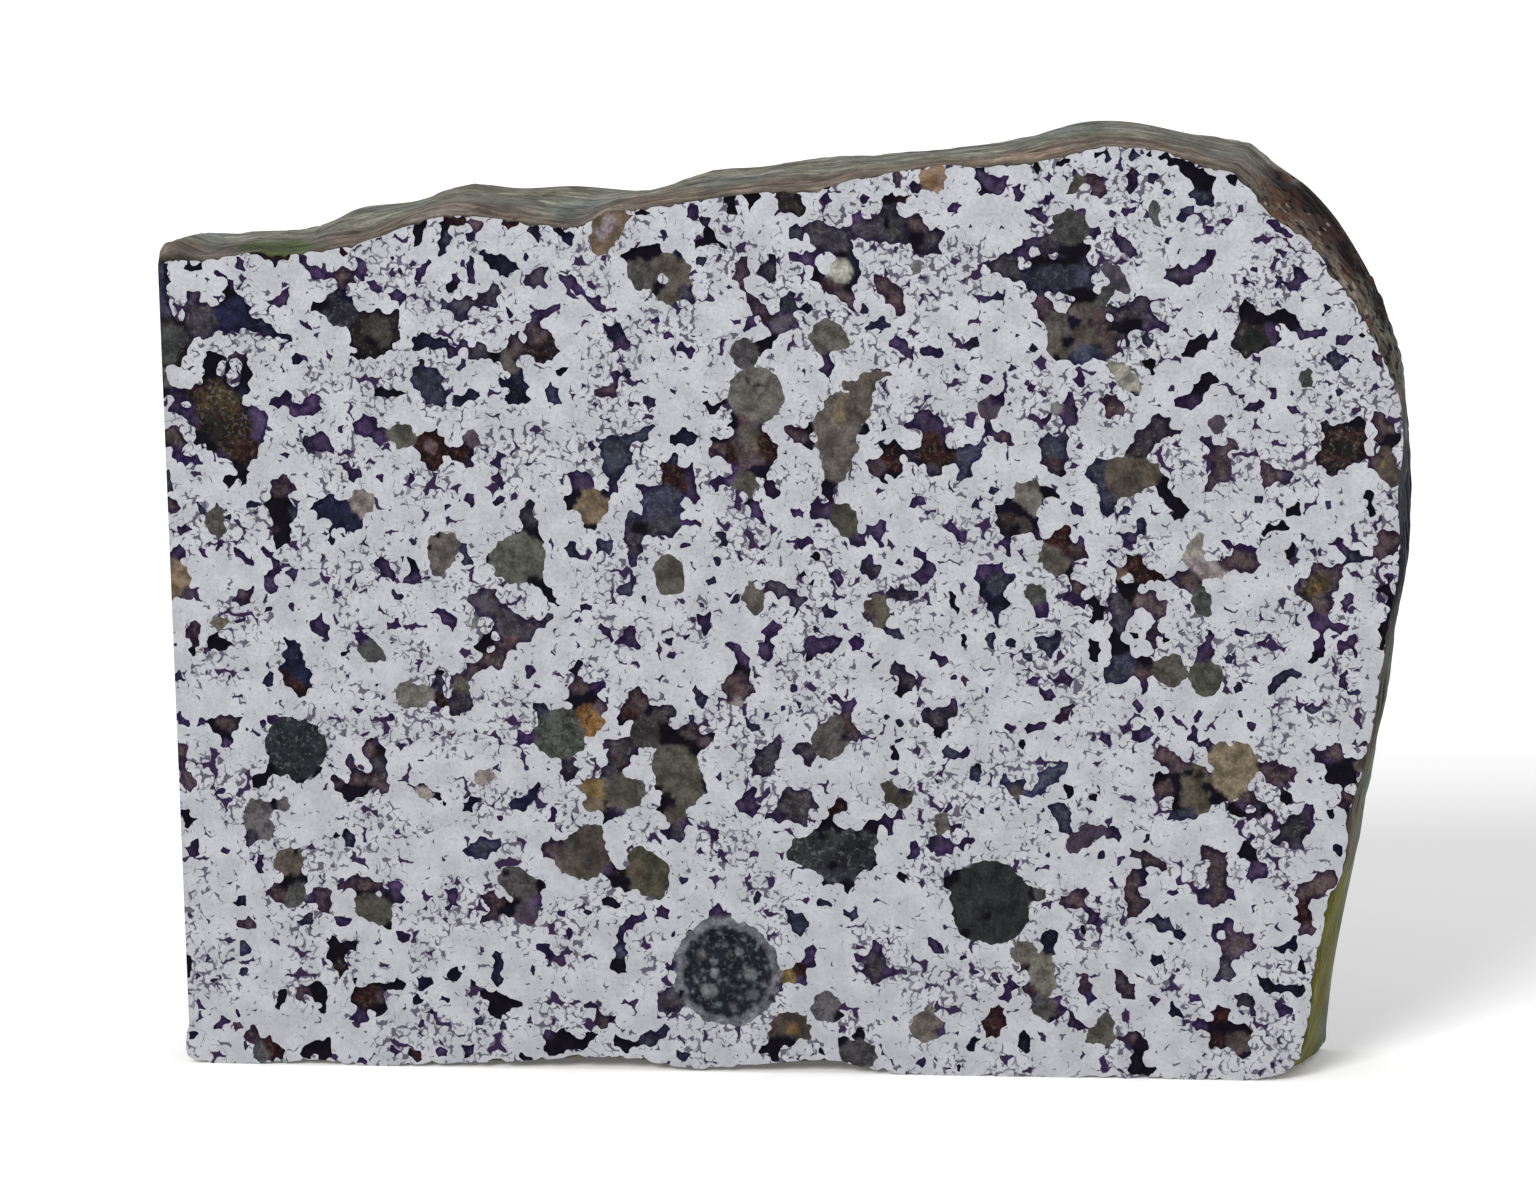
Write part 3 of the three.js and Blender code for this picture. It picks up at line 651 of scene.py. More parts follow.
v .4 19.7 .1 .9 19.7 .15 1.2 19.7 .15; k 1.4 19.1 .1; d 3.3 18.7 .3 3.5 18.6 .25; v 3.4 19 .15
v 2 18.5 .15 2.3 18.2 .15; k .95 18.5 .12; k 1.2 18.1 .1; v 5.3 18.4 .2 5.6 18.6 .25 5.7 18.8 .1
d 4.2 17.9 .15 4.6 17.9 .25 5 17.9 .1; k 4.25 17.95 .1; o 3.7 17.3 .42 3.8 17.1 .35 3.8 16.7 .12
n 3.5 16.95 .22; s 4 16.4 .15 4.4 16.2 .15; v 7.6 18.7 .2 7.4 18.4 .1
k 6.45 17.9 .12 6.5 17.5 .08 6.6 17.2 .1; s 1.9 17.1 .2; s 1.4 16.5 .12
L -1 17.9 .2 -.95 17.6 .35 -.85 17.2 .25; d -.4 17.95 .15 .1 17.9 .2 .5 17.7 .2 .7 17.4 .2
k .65 17.1 .1; v -.2 16.45 .28; v -.7 15.85 .1 -.45 15.9 .2 -.4 15.5 .12; v -1.8 15.85 .12 -1.5 15.85 .1
v -1.4 15.3 .28; k -1.5 14.9 .3 -1.2 14.85 .15; n -1.55 14.3 .55 -1 14.2 .15; p -1.6 13.75 .2
v -2.8 16.7 .25 -2.6 16.5 .15; v -5.7 16.1 .25 -5.4 15.9 .2; v -5.6 16.3 .15; v -4.1 16 .15
v -4.05 15.45 .18; v -3.4 16.2 .08; v -6.6 16.5 .12 -6.4 16.2 .08; v -7.5 16.7 .12; v -7.2 17.2 .15
s -5.7 17.9 .25; s -5.4 18.3 .12; s -5 17.45 .12; L -4.1 18.6 .52 -4 18.15 .5 -4.2 17.75 .12
s -6.6 19.4 .15 -6.3 19.4 .15; s -5.3 18.95 .12; s -2.5 18.2 .12; v -3.5 19.5 .12; s -1.65 17.6 .1
k 6.85 16.2 .15; v 2.9 16 .25 2.8 15.8 .2; v 1.2 15.8 .25 1.5 15.7 .25 1.9 15.8 .3 2.1 16.05 .15
k 1.1 15.4 .15; v 5.7 15.55 .2 6 15.3 .1; v 3.55 15.2 .1; v 6.4 14.7 .1; v 7.65 14.3 .12
d 4.2 15.1 .15 4.6 14.8 .25 4.7 14.4 .25; k 4.4 14.2 .15 4.6 14.3 .2; v .55 14.25 .12
s -3.2 14.2 .1 -3.15 13.95 .1; s -2.95 13.7 .18; s -3.35 13.2 .08; v 1.9 14.05 .08 2.2 13.8 .1
v 2.6 13.65 .2 2.85 13.7 .1; s .7 13.65 .12; n -7.6 14.2 .35; k -7.6 13.7 .3 -7.1 13.8 .2
v -6.65 14.3 .2; a -7.2 13.2 .4 -6.9 12.9 .3 -7.1 12.6 .2; n -6.7 13.5 .25
k -7.55 15.1 .15 -7.7 14.9 .12; n -5.35 13.8 .4; r -5.7 13.3 .2; k -5.95 13 .2; k -4.9 13.4 .15
d -4.4 13.3 .35; g -5 12.6 .57; k -4.4 12.9 .15 -4.2 12.4 .3 -3.8 12.3 .3 -3.3 12.1 .25
n -3.6 12.7 .25 -3.2 12.6 .2; n -3 12.35 .2; k -2.65 12.6 .12; d -6.1 11.9 .45 -5.7 11.9 .3
r -6.2 11.35 .3; s -1.05 12.75 .12; s -1.3 13.05 .08; s -.6 13.2 .12
g 1.75 12.3 .55 1.9 12.65 .5 2 13 .22; n 2.5 13.1 .15 2.6 12.75 .3 2.7 12.5 .2; k 2.3 12.55 .12
d .5 12 .15 .85 11.9 .2 .9 11.6 .12; d -.25 12.2 .2 -.55 11.8 .4 -.8 11.4 .45
d 5.4 13.3 .25 5.8 13.2 .4 6.2 13.4 .25; k 5.85 12.65 .15 5.8 12.8 .2; v 6.5 13.7 .12
k 4.05 12 .08 4.2 11.8 .18; s 4.4 13.1 .08; s 4.4 12.4 .1; s 6.1 11.9 .2 6.5 11.8 .12; v 6.8 12.1 .15
k 7.25 11.4 .2; s .05 13.55 .12; s 3.9 13.35 .08
n 10.3 22.5 .35; k 10.6 22.3 .15; s 11.9 22.5 .3 11.7 22.1 .2 12 22 .2
o 12.6 22.3 .45 13.3 22.3 .55 13.9 22.3 .35; o 12.7 21.8 .35 13.3 21.8 .3
k 14.3 21.9 .2 14.5 21.4 .25 14.8 21.1 .25 15 20.9 .25; k 14.7 20.7 .12; s 12.15 21.3 .25 12.2 20.9 .2
v 11 21 .22 11.2 20.8 .1; s 12.9 20.9 .15; s 13.5 20.5 .12 13.4 20.2 .2; v 12.7 20 .12 12.95 19.9 .25
L 8.95 21.7 .15 9.3 21.45 .42 9.45 21.1 .3; o 9.5 21.8 .2; k 9.9 21.6 .12 10.2 21.4 .1
k 8.1 20.8 .12 8.5 21 .2 9 20.8 .15 9.5 20.5 .12; n 8.4 20.4 .35; o 9.1 20.3 .3
k 8.8 20.15 .2 8.6 20 .12; v 8.45 19.7 .2 8.6 19.4 .1; v 9.6 20 .15; r 10.5 19.9 .35 10.3 19.7 .2
r 10.5 19.4 .25; L 10.1 19.1 .45 10.3 18.85 .35; n 11 19.3 .3 11.3 19.3 .2; v 11.2 19.8 .15
k 10.75 18.6 .15; n 11 18.1 .2; v 10.8 17.7 .2; v 11.2 17.4 .12; b 7.9 17.9 .4 8.1 17.6 .38
s 8.1 18.2 .3 8.6 18.3 .12; s 8.05 17.1 .15 8.05 16.8 .06; v 8.2 18.8 .12; g 9.3 17.9 .25 9.5 17.8 .38
v 9.75 17.3 .25 10 17.2 .1; r 13.2 19 .35 13.5 18.6 .3 13.9 18.5 .2; t 12.7 18.7 .2; v 12.3 19 .12
k 12.8 18.2 .15 13 17.85 .25; n 13.5 17.6 .35 13.9 17.5 .25 13.9 17.1 .15
d 12.4 17.6 .3 12.6 17.2 .4 12.5 16.8 .3; k 11.5 17.7 .08 11.7 17.5 .2 11.8 17.1 .2 11.5 16.8 .08
k 13.1 16.35 .15; n 13.8 16.7 .1 13.75 16.4 .2 13.8 16 .12; k 14.3 16.2 .08
k 11.5 16.1 .15 11.7 15.75 .2 11.5 15.5 .1; k 12.4 16.5 .1 12.4 16.2 .15 12.5 15.8 .25
s 12.6 15.1 .45 12.3 14.8 .25; s 12.8 15.4 .2; n 13.4 14.9 .25; k 13.5 15.35 .2
v 13.45 14.45 .18 13.4 14.2 .06; L 14.4 15.05 .58; G 15.7 14.8 .62
v 15.8 16.2 .15 15.75 15.8 .3 15.6 15.5 .2; k 15.85 16.5 .1
n 16.6 19 .3 17.1 19.1 .35 17.5 19 .25 17.7 18.95 .15; v 16.5 19.7 .1; v 17.1 19.5 .15 17.5 19.5 .1
p 15.5 19.9 .15 15.4 19.4 .3 15.2 19.2 .3; n 15.2 18.4 .3 14.8 18.5 .2; v 14.6 18.45 .12
p 15.4 19 .25 16 18.7 .3 16.3 18.6 .2; g 15.6 18 .15 15.6 17.6 .35 15.7 17.3 .25
k 18.95 21 .2 19.2 21.1 .1; s 17.8 21.3 .12; s 20.3 21.15 .12
k 17.9 20.15 .15 18.3 20.3 .1 18.8 20.4 .06; k 18.8 19.5 .1 18.8 19.3 .18; s 19.8 19.4 .1
s 19.35 20.05 .1; v 20.6 19.8 .15 20.8 19.6 .12; s 21.1 19.25 .25 21.25 19.1 .15; s 21.6 19.2 .12
n 22.4 19.7 .45 22.6 19.9 .3; k 21.7 21.5 .12 21.8 21.3 .1 21.85 20.9 .12
o 22.4 22.9 .33 22.3 22.7 .38 22.6 22.3 .33; y 22.2 22.75 .18; n 21.95 22.8 .25
n 17.9 22.7 .15 18.1 22.4 .3 18.3 22.2 .25 18 21.9 .15; v 18.8 22.1 .2
n 19.6 18 .45 19.9 18.3 .5 20.3 18.5 .35 20.6 18.7 .2; Y 19.6 17.9 .35 19.9 18.3 .35; a 19.8 18 .12
n 20 17.6 .4; n 19.2 18.2 .2; n 19.8 18.9 .15; v 20.9 17.7 .25 20.8 17.4 .15
v 19.4 17.1 .08 19.6 16.9 .15 20 16.9 .2; v 20.6 16.65 .18 20.9 16.7 .1; v 19.8 16.2 .12 20 16.25 .1
v 20.7 15.9 .12 20.9 16.1 .2 21.2 16.3 .15; v 21.2 15.8 .12; k 19.5 15.5 .1 19.9 15.7 .1 20 15.9 .08
k 22.2 18.1 .15 22.5 17.9 .2 22.7 17.3 .3 22.5 16.8 .25 22.3 16.4 .15 22.2 15.9 .12; v 22.4 18.6 .1
v 17 16.5 .15 17.2 16.5 .1; v 17.8 16.1 .12 18 16.3 .06; s 16.6 15.5 .12
s 18.1 14.4 .12 18.4 14.7 .15 18.7 14.9 .12 18.9 15 .08; s 16.9 14.5 .18
v 20.9 15.1 .06 20.6 14.8 .12 20.8 14.6 .1; s 21.05 14.3 .12; s 19.5 13.9 .08 19.6 13.7 .2
v 14 13.5 .2 13.95 13.2 .1; v 14.6 13.3 .12; v 15.4 13.7 .06 15.3 13.4 .12; v 16.95 13.5 .12
v 17.4 13.1 .12; v 13.4 12.7 .15 13.6 12.9 .08; v 13.05 12.6 .12; v 15.2 12.7 .18 15.25 12.9 .1
v 11.85 12.6 .15 12 12.4 .12; v 12.7 12.85 .08; v 13.15 13.7 .12; v 10.5 14.75 .25 10.6 14.6 .15
v 9.4 14.7 .15; v 9.7 14.2 .15 10 14 .12; v 8.85 14.9 .1; n 10.4 13.3 .2 10.7 13.6 .1
v 9.1 13 .1 9.6 13 .15; v 8.4 12.95 .12; k 8.95 12.3 .15; s 9.7 16.1 .15 9.9 15.9 .25 10.2 16.3 .1
s 9.9 15.6 .1; s 8.65 16 .2; s 9.15 15.55 .12; s 7.8 16.15 .2
n 14 12.1 .25 14.3 11.9 .25 14.6 11.7 .2 15 11.4 .3 15.5 11.2 .3; n 19.8 12 .28; n 20.35 12.25 .28
k 20.2 11.4 .2 20.8 11.4 .4 21.1 11.7 .25; n 21.4 12.4 .12; v 15.7 12.4 .2; o 21.3 11.6 .25
k -19.2 11.1 .15 -19.45 10.9 .15 -19.65 10.65 .27; k -18.1 10.7 .12; k -17.4 10.95 .1
n -22.7 11.7 .2 -22.7 11.2 .2; n -22.6 10.9 .15 -22.4 10.5 .28; k -22.1 11.15 .08
s -21.1 10.3 .12 -21.4 10.15 .06; n -16.75 10.65 .2; n -16 10.9 .3 -15.5 10.85 .22
k -16.6 10.35 .15 -16.25 10.15 .28 -15.7 10.5 .15; d -15.15 11.2 .3; n -15.1 10.6 .28; n -15.5 11.85 .25
v -16.2 11.5 .15; p -11.35 10.8 .25 -11 10.95 .25; p -13.6 10.3 .2 -13.35 10.15 .22; k -13.5 10.55 .12
k -13.95 10.55 .08; k -12.95 10.1 .15; k -12.7 9.8 .1; b -11.8 9.75 .22 -11.55 10.05 .1
b -10 9.95 .25 -9.6 10 .08 -9.35 10.2 .12 -9.25 10.55 .12; d -8 11.15 .33
g -19.75 9.5 .46 -19.85 9.1 .54 -19.6 8.9 .42; d -20.05 8.6 .2 -20.25 8.5 .14; k -19.1 9.75 .15
g -18.8 9.8 .27; k -22.6 9.4 .18 -22.4 9.1 .12; v -22.3 8.1 .27; v -21.1 7.95 .12; L -18.65 7.6 .55
k -18.2 7.1 .15; k -18.45 8 .12; n -19.2 6.65 .25 -19.2 6.2 .14; k -18.7 6.85 .26
g -18.45 6.5 .36 -18.65 6.1 .18; v -19.85 7.9 .1 -19.8 7.45 .18; n -17.35 6.5 .2 -17.4 6 .25
v -17.85 6.2 .1; b -20.5 6.1 .15 -20.75 6 .08; k -16.85 8.65 .12; s -16.35 8.4 .22; k -16.5 8.85 .1
n -20.35 5.3 .25; s -18 5.55 .2 -18.35 5.35 .06; v -16.8 5.4 .18
n -16.75 6.7 .14 -16.2 6.95 .26 -15.7 6.8 .2 -15.2 6.7 .14; v -14.6 6.75 .27; v -14.5 6.35 .2
k -14.95 6.4 .15; k -16 6.58 .1 -15.6 6.5 .08; L -15.75 6 .5 -15.35 5.85 .55; k -14.9 5.3 .08
v -14.45 4.95 .2; v -12.55 6.5 .28; v -12.75 5.95 .12
s -11.7 8.15 .3 -11.35 8.25 .35 -10.9 8.4 .2 -10.7 8.4 .08; g -10.2 7.1 .5 -9.8 6.7 .5; k -10.5 7.3 .15
k -9.2 6.8 .2; n -11.2 6.4 .2 -10.85 6.2 .2; k -10.6 5.9 .2 -10.1 6.1 .25
n -11.4 5.65 .1 -10.95 5.65 .15; q -9.75 5.8 .42; v -9.35 6.3 .2; k -8.9 8.2 .15
n -8.95 8.05 .2 -8.7 8.3 .3 -8.4 8.3 .2; o -8 7.75 .55 -7.6 7.7 .65
o -7.7 8.4 .55 -7.3 8.6 .6 -7.2 8 .6; v -8.2 5.05 .15; v -9.1 4.6 .2 -9 4.2 .14; v -8.45 4 .15
v -9.6 3.65 .15; v -8.35 5.9 .1; v -7.35 5.8 .1; k -17.2 4.6 .2; k -17.05 4.15 .35; k -16.45 4.5 .2
e -16.8 3.75 .3; k -16.3 3.2 .12; s -20.45 4.3 .22; s -20.6 3.45 .18; k -22.6 4 .12 -22.72 3.2 .08
s -21.7 3.1 .1; k -19.05 2.85 .06 -19.1 2.45 .2 -19.3 2.2 .1; n -18.35 2.8 .25
k -17.75 2.8 .24 -17.55 2.3 .14 -17.7 2 .1; v -22.2 2.1 .15; v -21.6 1.4 .12 -21.4 1.6 .18
v -20.8 1.9 .1; n -20.9 1.35 .12; n -20.3 1.1 .27; r -19.75 .85 .15; r -19.55 .45 .3; g -20 .35 .3
b -22.6 .95 .15; k -18.3 .45 .12 -17.95 .65 .25 -17.45 .8 .2; k -17.6 .4 .2
r -16 2.35 .3 -15.75 2.8 .25; v -16.2 1.8 .28; n -15.4 2.65 .15; k -15.5 2.1 .2
k -15.3 2.9 .1 -14.6 3.1 .22; b -13.75 3.2 .27; b -14.1 2.55 .12 -13.85 2.55 .1; b -12.9 2.6 .12
b -13.45 2.15 .12; b -12.55 3.45 .12 -12.3 3.55 .1; b -11.9 3.15 .1
b -10.9 4.2 .1 -10.85 3.8 .2 -10.85 3.2 .12
k -11.4 2.7 .12 -10.95 2.45 .35 -10.6 2.35 .3 -10.2 2.55 .14; k -11.05 2.1 .15; s -11.6 1.8 .15
s -10.8 1.55 .12; b -9.7 1.55 .07; v -13.9 1.55 .12; v -14.8 .5 .15; r -14.05 .45 .15; v -13.05 .55 .18
v -12 .75 .15; v -16.2 .2 .1; k -12.2 .4 .08; k -9.9 .4 .12; k -9 .8 .25 -8.4 .9 .25 -7.95 1 .2
k -8.45 1.25 .2; k -7.5 1.25 .14; v -9.05 1.3 .1; s -7.4 2.45 .15; v -8.7 9.7 .12; v -8.6 9.3 .08
v -10.7 9.3 .1
d -6.6 11.05 .2 -6.3 11.3 .3; y -7.15 10.55 .35 -6.85 10.3 .3; t -7.3 9.9 .2 -6.4 9.85 .2
k -6.65 9.9 .12; o -6.1 10.4 .6 -5.7 10.4 .5 -5.3 10.6 .2; b -6.45 9.55 .25 -6.6 9.35 .14
v -6.2 9.7 .15; L -4 11.4 .8 -3.9 11 .88 -3.8 10.6 .8 -3.75 10.15 .38; k -4.35 10.15 .26 -4.2 9.9 .24
k -4.6 9.7 .12; o -4.05 9.5 .36; d -4.1 8.8 .28; v -4.5 8.85 .12; v -3.7 9.2 .2; k -2.9 10.6 .12
k -4.65 10.55 .1; v -1.2 10.3 .25; v -1.35 9.8 .25; v -1.6 9.9 .14 -1.1 9.65 .14; v -2.35 11 .08
d .3 10.1 .45 .75 10.05 .45 .5 9.6 .35; v -.35 9.6 .2; r 2.15 9.95 .27
o 3.9 10.75 .2 4.05 10.5 .35 4.5 10.3 .33; v 4.5 10.55 .15; s 7.15 11.1 .25; L 5.85 9.35 .32
v 6.4 9.2 .15; v 6.1 9.95 .1; v 7.35 9.9 .12; s 5.7 10.9 .08; v 3.7 9.55 .12 3.9 9.1 .14; v 4.3 9.55 .12
S .6 8.2 .5 1.2 8.3 .7 2 8.2 .9 2.6 8.4 .7 3 8.6 .38; S 2.6 8.1 .7; S 1.8 7.7 .6 2.3 7.4 .35
k 1.35 8.85 .2; k 3.2 9.2 .2; k 1.55 9.35 .2; k 1.8 7.7 .2; k 2.35 7.1 .2 2.3 6.8 .1; k 3.3 7.8 .12
k 1.45 7.1 .15; k 2 9.05 .12; k 2.7 9 .15; v 4.8 8.4 .25 4.6 8.1 .12
v 5.6 8.5 .28 5.9 8.4 .18 6.5 8.5 .08 7 8.7 .08; k 4.35 7.3 .2; v -6.55 7.5 .15; e -6.2 7.3 .26
k -6.45 7.1 .2 -6 7 .24; O -5.3 7.8 .5 -5.1 7.3 .7 -4.9 6.9 .48; O -5.5 7.4 .4; k -6.45 6.3 .25
v -4.7 5.95 .2; s -3.85 7.1 .15; v -3.2 8.2 .15; v -2.7 9.05 .08 -2.65 8.8 .2; v -2.45 8.15 .12
s -1.15 6.45 .15; s 0 6.1 .12 .45 5.6 .22 .55 5.3 .14; s 1.3 6.3 .11 1.55 6.3 .1
s 2.15 5.95 .1 2.45 5.9 .2; v -2.55 5.9 .3; m -2.28 3.75 1.98; d -4.45 2.6 .5; k -4.05 2.9 .15
v -4.4 3.9 .1; y .05 3.55 .24; r .45 3.8 .25; v .55 3.45 .18; v .8 4.2 .2 .85 4.55 .12; v -.35 3.2 .15
v -.65 2.8 .12; g 1.35 2.5 .5; k 1.8 2.2 .15; o -.45 1.55 .3 -.1 1.75 .5 .3 1.7 .5; y .15 1.6 .28
k -.45 1.05 .28; k -.9 .9 .2; k -.65 .75 .2; k -.1 1.15 .2; k 1.2 .8 .12; g 2.2 .8 .4 2.8 .7 .45
k 1.9 1.2 .14; k 2.65 1.5 .15; d 3.15 4.1 .4 3.2 3.8 .38; v 3.35 4.7 .25; v 2.65 4.4 .15; v 3.75 3.8 .2
v 2.5 3.9 .1; L 5.1 1.8 .52; v 5.6 1.65 .2; p 5.3 2.45 .2; r 7.75 2.4 .25 7.65 2 .3 7.6 1.65 .2
b 7.1 1.4 .08 6.7 1.15 .12; v 8.05 2.95 .2; v 5.65 4.65 .15; v 5.5 4.95 .12; v 6.5 4.4 .12
v 6.95 3.85 .12; v 7.7 3.7 .12; v 4.9 .4 .12; k 6.3 .35 .12; s -6.2 4.5 .22; k -6.2 3.95 .25
k -6.4 3.8 .12; v -6.2 5.1 .14 -5.85 5.45 .2 -5.5 5.7 .14; v -4.3 5.15 .1; s -7.35 2.4 .12; n -7 1.9 .25
k -6.6 1.95 .12; k -7.65 1 .24; k -7.3 1.3 .15; k -6.5 1.15 .1 -6.2 .9 .14 -5.7 1 .1
s -5.35 1.2 .2 -4.8 1.35 .2 -4.55 1.5 .1; s -4.05 .6 .2; K 7.6 6.45 1.5; k 6.3 7.35 .25 5.95 7.05 .12
k 7.2 5.87 .09 7.55 6.04 .1; k 6.65 5.4 .15
k 9.2 6.8 .16; g 9.45 6.85 .2; L 8.8 4.6 .42; L 9.45 4.05 .45 9.6 3.45 .34; b 9.7 5.2 .28 9.75 4.8 .18
r 8.85 4.05 .15; n 9.1 3.2 .22; g 9.55 2.55 .42; k 9.8 2.2 .14; v 10.1 2.55 .15; v 10.05 2.9 .12
v 10.55 2.1 .25 10.95 1.9 .1; o 11.3 1.45 .25 11.7 1.65 .42 11.9 2.1 .22; n 12.4 1.45 .12 12.8 1.5 .1
k 13.05 1.5 .18 13.1 1.2 .22 13 .75 .18; k 13.2 .4 .2 13.55 .25 .06; k 12.75 .4 .1; v 8.35 3.45 .15
b 8.8 1.5 .12 8.8 1.15 .2; n 11 3.5 .25; v 11.25 2.9 .2; n 12.4 3.8 .18 12.45 3.4 .35 12.8 3.15 .18
v 13.6 2.95 .17; b 13.7 4.4 .2; v 14.5 4.05 .1; b 14.3 2.5 .22; v 14.95 3.05 .15 15.2 3.1 .1
s 9.8 11 .25 10 11.15 .3 10.3 11.4 .2; s 9.6 10.55 .12 9.1 10.45 .12; s 8.25 11 .14 8.5 10.65 .12
L 8.6 10.55 .18; s 8.85 10.85 .12; s 8.7 10.1 .1; k 10.6 10.6 .1; k 11.5 10.35 .12
s 10.1 9.9 .2 10.3 9.75 .26 10.4 9.25 .16; q 10.7 8.6 .3 11.2 9 .38 11.7 9.2 .22; v 12.3 9 .2
v 13.4 8.95 .12; v 9.7 9 .08; n 12.95 8.4 .12 13.45 8.15 .25 13.95 7.9 .2; v 12.45 8.05 .15
v 11.8 8.2 .08; v 9.75 8.2 .08; b 13.25 7.5 .22; n 12.9 7.4 .25; v 12.1 7.3 .15
n 12.9 6.6 .38 12.75 6.25 .24; n 10.4 6.5 .25 10.8 6.7 .25 11.05 6.8 .15; v 11.2 6.2 .15
v 11.4 5.85 .22; k 10.95 5.45 .1; s 13.45 5.9 .15 13.8 5.85 .25 14.05 5.65 .2; b 14.6 5.35 .18
s 12.7 5.35 .08; v 14.4 6.95 .15; k 13.95 11.1 .25; n 14.07 10.7 .3; k 14.6 10.95 .3; k 14.7 10.35 .3
o 15.2 11.2 .5 15.3 10.8 .55 15.1 10.4 .45 15.5 10.2 .3; k 15 11.35 .2; e 15.4 11.25 .2
s 15.05 9.9 .25 14.5 9.75 .14 14.2 9.65 .07; n 14.3 11.65 .25; k 15.7 10.8 .2; k 16.05 10.45 .22
t 16.3 11.9 .5 16.8 11.7 .7 16.6 11.2 .65 16.6 10.9 .4; k 16.75 9.9 .2 16.5 10 .12; n 17.2 10.35 .2
k 17.85 10 .18; n 17.4 9.75 .15; v 17 10.1 .14; s 17.6 10.15 .12
n 17.8 11.6 .25 18.2 11.3 .4 18.7 11.3 .3; k 18.5 10.5 .15 18.6 10.2 .1
d 19 9.4 .48 18.7 9.2 .44 18.2 8.95 .18; d 18.95 8.6 .12; v 19.3 10 .15; v 19.35 9.45 .2
n 15.65 8.4 .26 16.05 8.2 .3 15.9 7.55 .3 16.05 6.85 .42; v 15.4 6.8 .25; v 16.4 6.9 .22
k 17 8.55 .2 17.25 8.3 .22; s 17.25 9 .12; v 17.4 7.8 .25 17.2 7.4 .14; b 20.3 8.55 .12
n 20.2 7.65 .18 19.75 7.4 .25 19.2 7.1 .25 18.9 6.9 .14; r 19.05 6.55 .24 19 6.05 .22
n 19.05 5.65 .2 19.5 5.6 .1; b 18.75 5.2 .12 18.35 4.9 .15 18.05 4.9 .1
n 16.4 5.6 .15 16.55 5.2 .35 16.9 5.1 .4 16.6 4.8 .28; r 16.85 5.15 .12
v 15.8 5.35 .08 15.95 5.65 .12 16.45 5.9 .1; d 16.25 4.2 .25 16.3 3.85 .24; v 15.95 3.7 .12
b 17.5 3.8 .12 17.75 3.45 .25 18.05 3.5 .14 18.5 3.45 .12 19 3.45 .2; k 19.05 4.2 .2
d 16.85 3 .27 17.15 2.95 .14; v 18.25 2.6 .22; v 18.55 2.65 .1; r 15.95 2.5 .28; v 15.2 2.05 .25
k 15.75 2 .24 16.3 2 .17 16.9 1.85 .12; r 15.85 1.45 .28; o 16.7 1.4 .38; k 16.95 .9 .14; v 17.9 .7 .1
v 17.2 2.45 .12; k 20.25 11.15 .2; k 20.6 11.2 .3; n 20.75 10.45 .28; k 20.85 9.85 .14; k 20.2 9.9 .12
v 19.9 11.9 .2
"""
RIMMED_CHONDRULE = (-2.28, 3.75, 1.66)  # x, z and radius of the large chondrule's dark core
LOBE = 0.12  # how far the core's lobes lie from its middle
# The larger pale beads in the core, as x, z and radius.
LARGER_BEADS = [(-1.35, 3.66, 0.24), (-2.95, 3.0, 0.28), (-3.22, 4.36, 0.16), (-1.35, 2.86, 0.2)]
BEAD_SIZES = (0.04, 0.05, 0.06, 0.08, 0.1, 0.13, 0.16)
BEAD_TRIES = 900
MOST_BEADS = 62
BEAD_GAP = 0.06  # smallest distance between two beads

# Each class of scattered inclusions: its kinds, the smallest and the largest radius, and how common it is.
SCATTERED = (
    ("K", 0.9, 1.4, 1), ("SZG", 0.75, 1.1, 4), ("oOgq", 0.45, 0.85, 16), ("tpgoq", 0.3, 0.5, 26),
    ("ndsrRe", 0.3, 0.6, 46), ("nsdbkr", 0.18, 0.34, 130), ("kvsb", 0.1, 0.22, 330),
)
SCATTERED_PER_AREA = 0.62  # inclusions to a square millimetre
SPOT_TRIES = 12  # for a place clear of the others
ROUND_KINDS = "KSZGgq"


def read_inclusions(text):
    """Inclusions as (kind, beads) pairs, beads as rows of x, z and radius."""
    found = []
    for entry in text.replace("\n", ";").split(";"):
        words = entry.split()
        if words:
            found.append((words[0], np.array(words[1:], float).reshape(-1, 3)))
    return found


def rimmed_chondrule(seed):
    """The dark core inside the large pale-rimmed chondrule, and the pale beads in it."""
    x, z, radius = RIMMED_CHONDRULE
    dice = random.Random(seed)
    turns = np.arange(0, 6.2, 0.8)
    lobes = [(x + LOBE * math.cos(a), z + LOBE * math.sin(a), radius - 0.1) for a in turns]
    placed = list(LARGER_BEADS)
    made = [("c", np.array(lobes))] + [("w", np.array([spot])) for spot in placed]
    for _ in range(BEAD_TRIES):
        bead = dice.choice(BEAD_SIZES)
        angle, out = dice.uniform(0, math.tau), radius * math.sqrt(dice.random())
        spot = (x + out * math.cos(angle), z + out * math.sin(angle), bead)
        clear = all(math.dist(spot[:2], p[:2]) > spot[2] + p[2] + BEAD_GAP for p in placed)
        if clear and out + bead < radius and len(placed) < MOST_BEADS:
            placed.append(spot)
            made.append(("w", np.array([spot])))
    return made


def free_spot(dice, low, high, radius, taken):
    """A random place for an inclusion, away from the others if a few tries find one."""
    for _ in range(SPOT_TRIES):
        x, z = dice.uniform(low[0], high[0]), dice.uniform(low[1], high[1])
        if all(math.dist((x, z), spot[:2]) > 0.9 * (radius + spot[2]) + 0.1 for spot in taken):
            break
    return x, z, radius


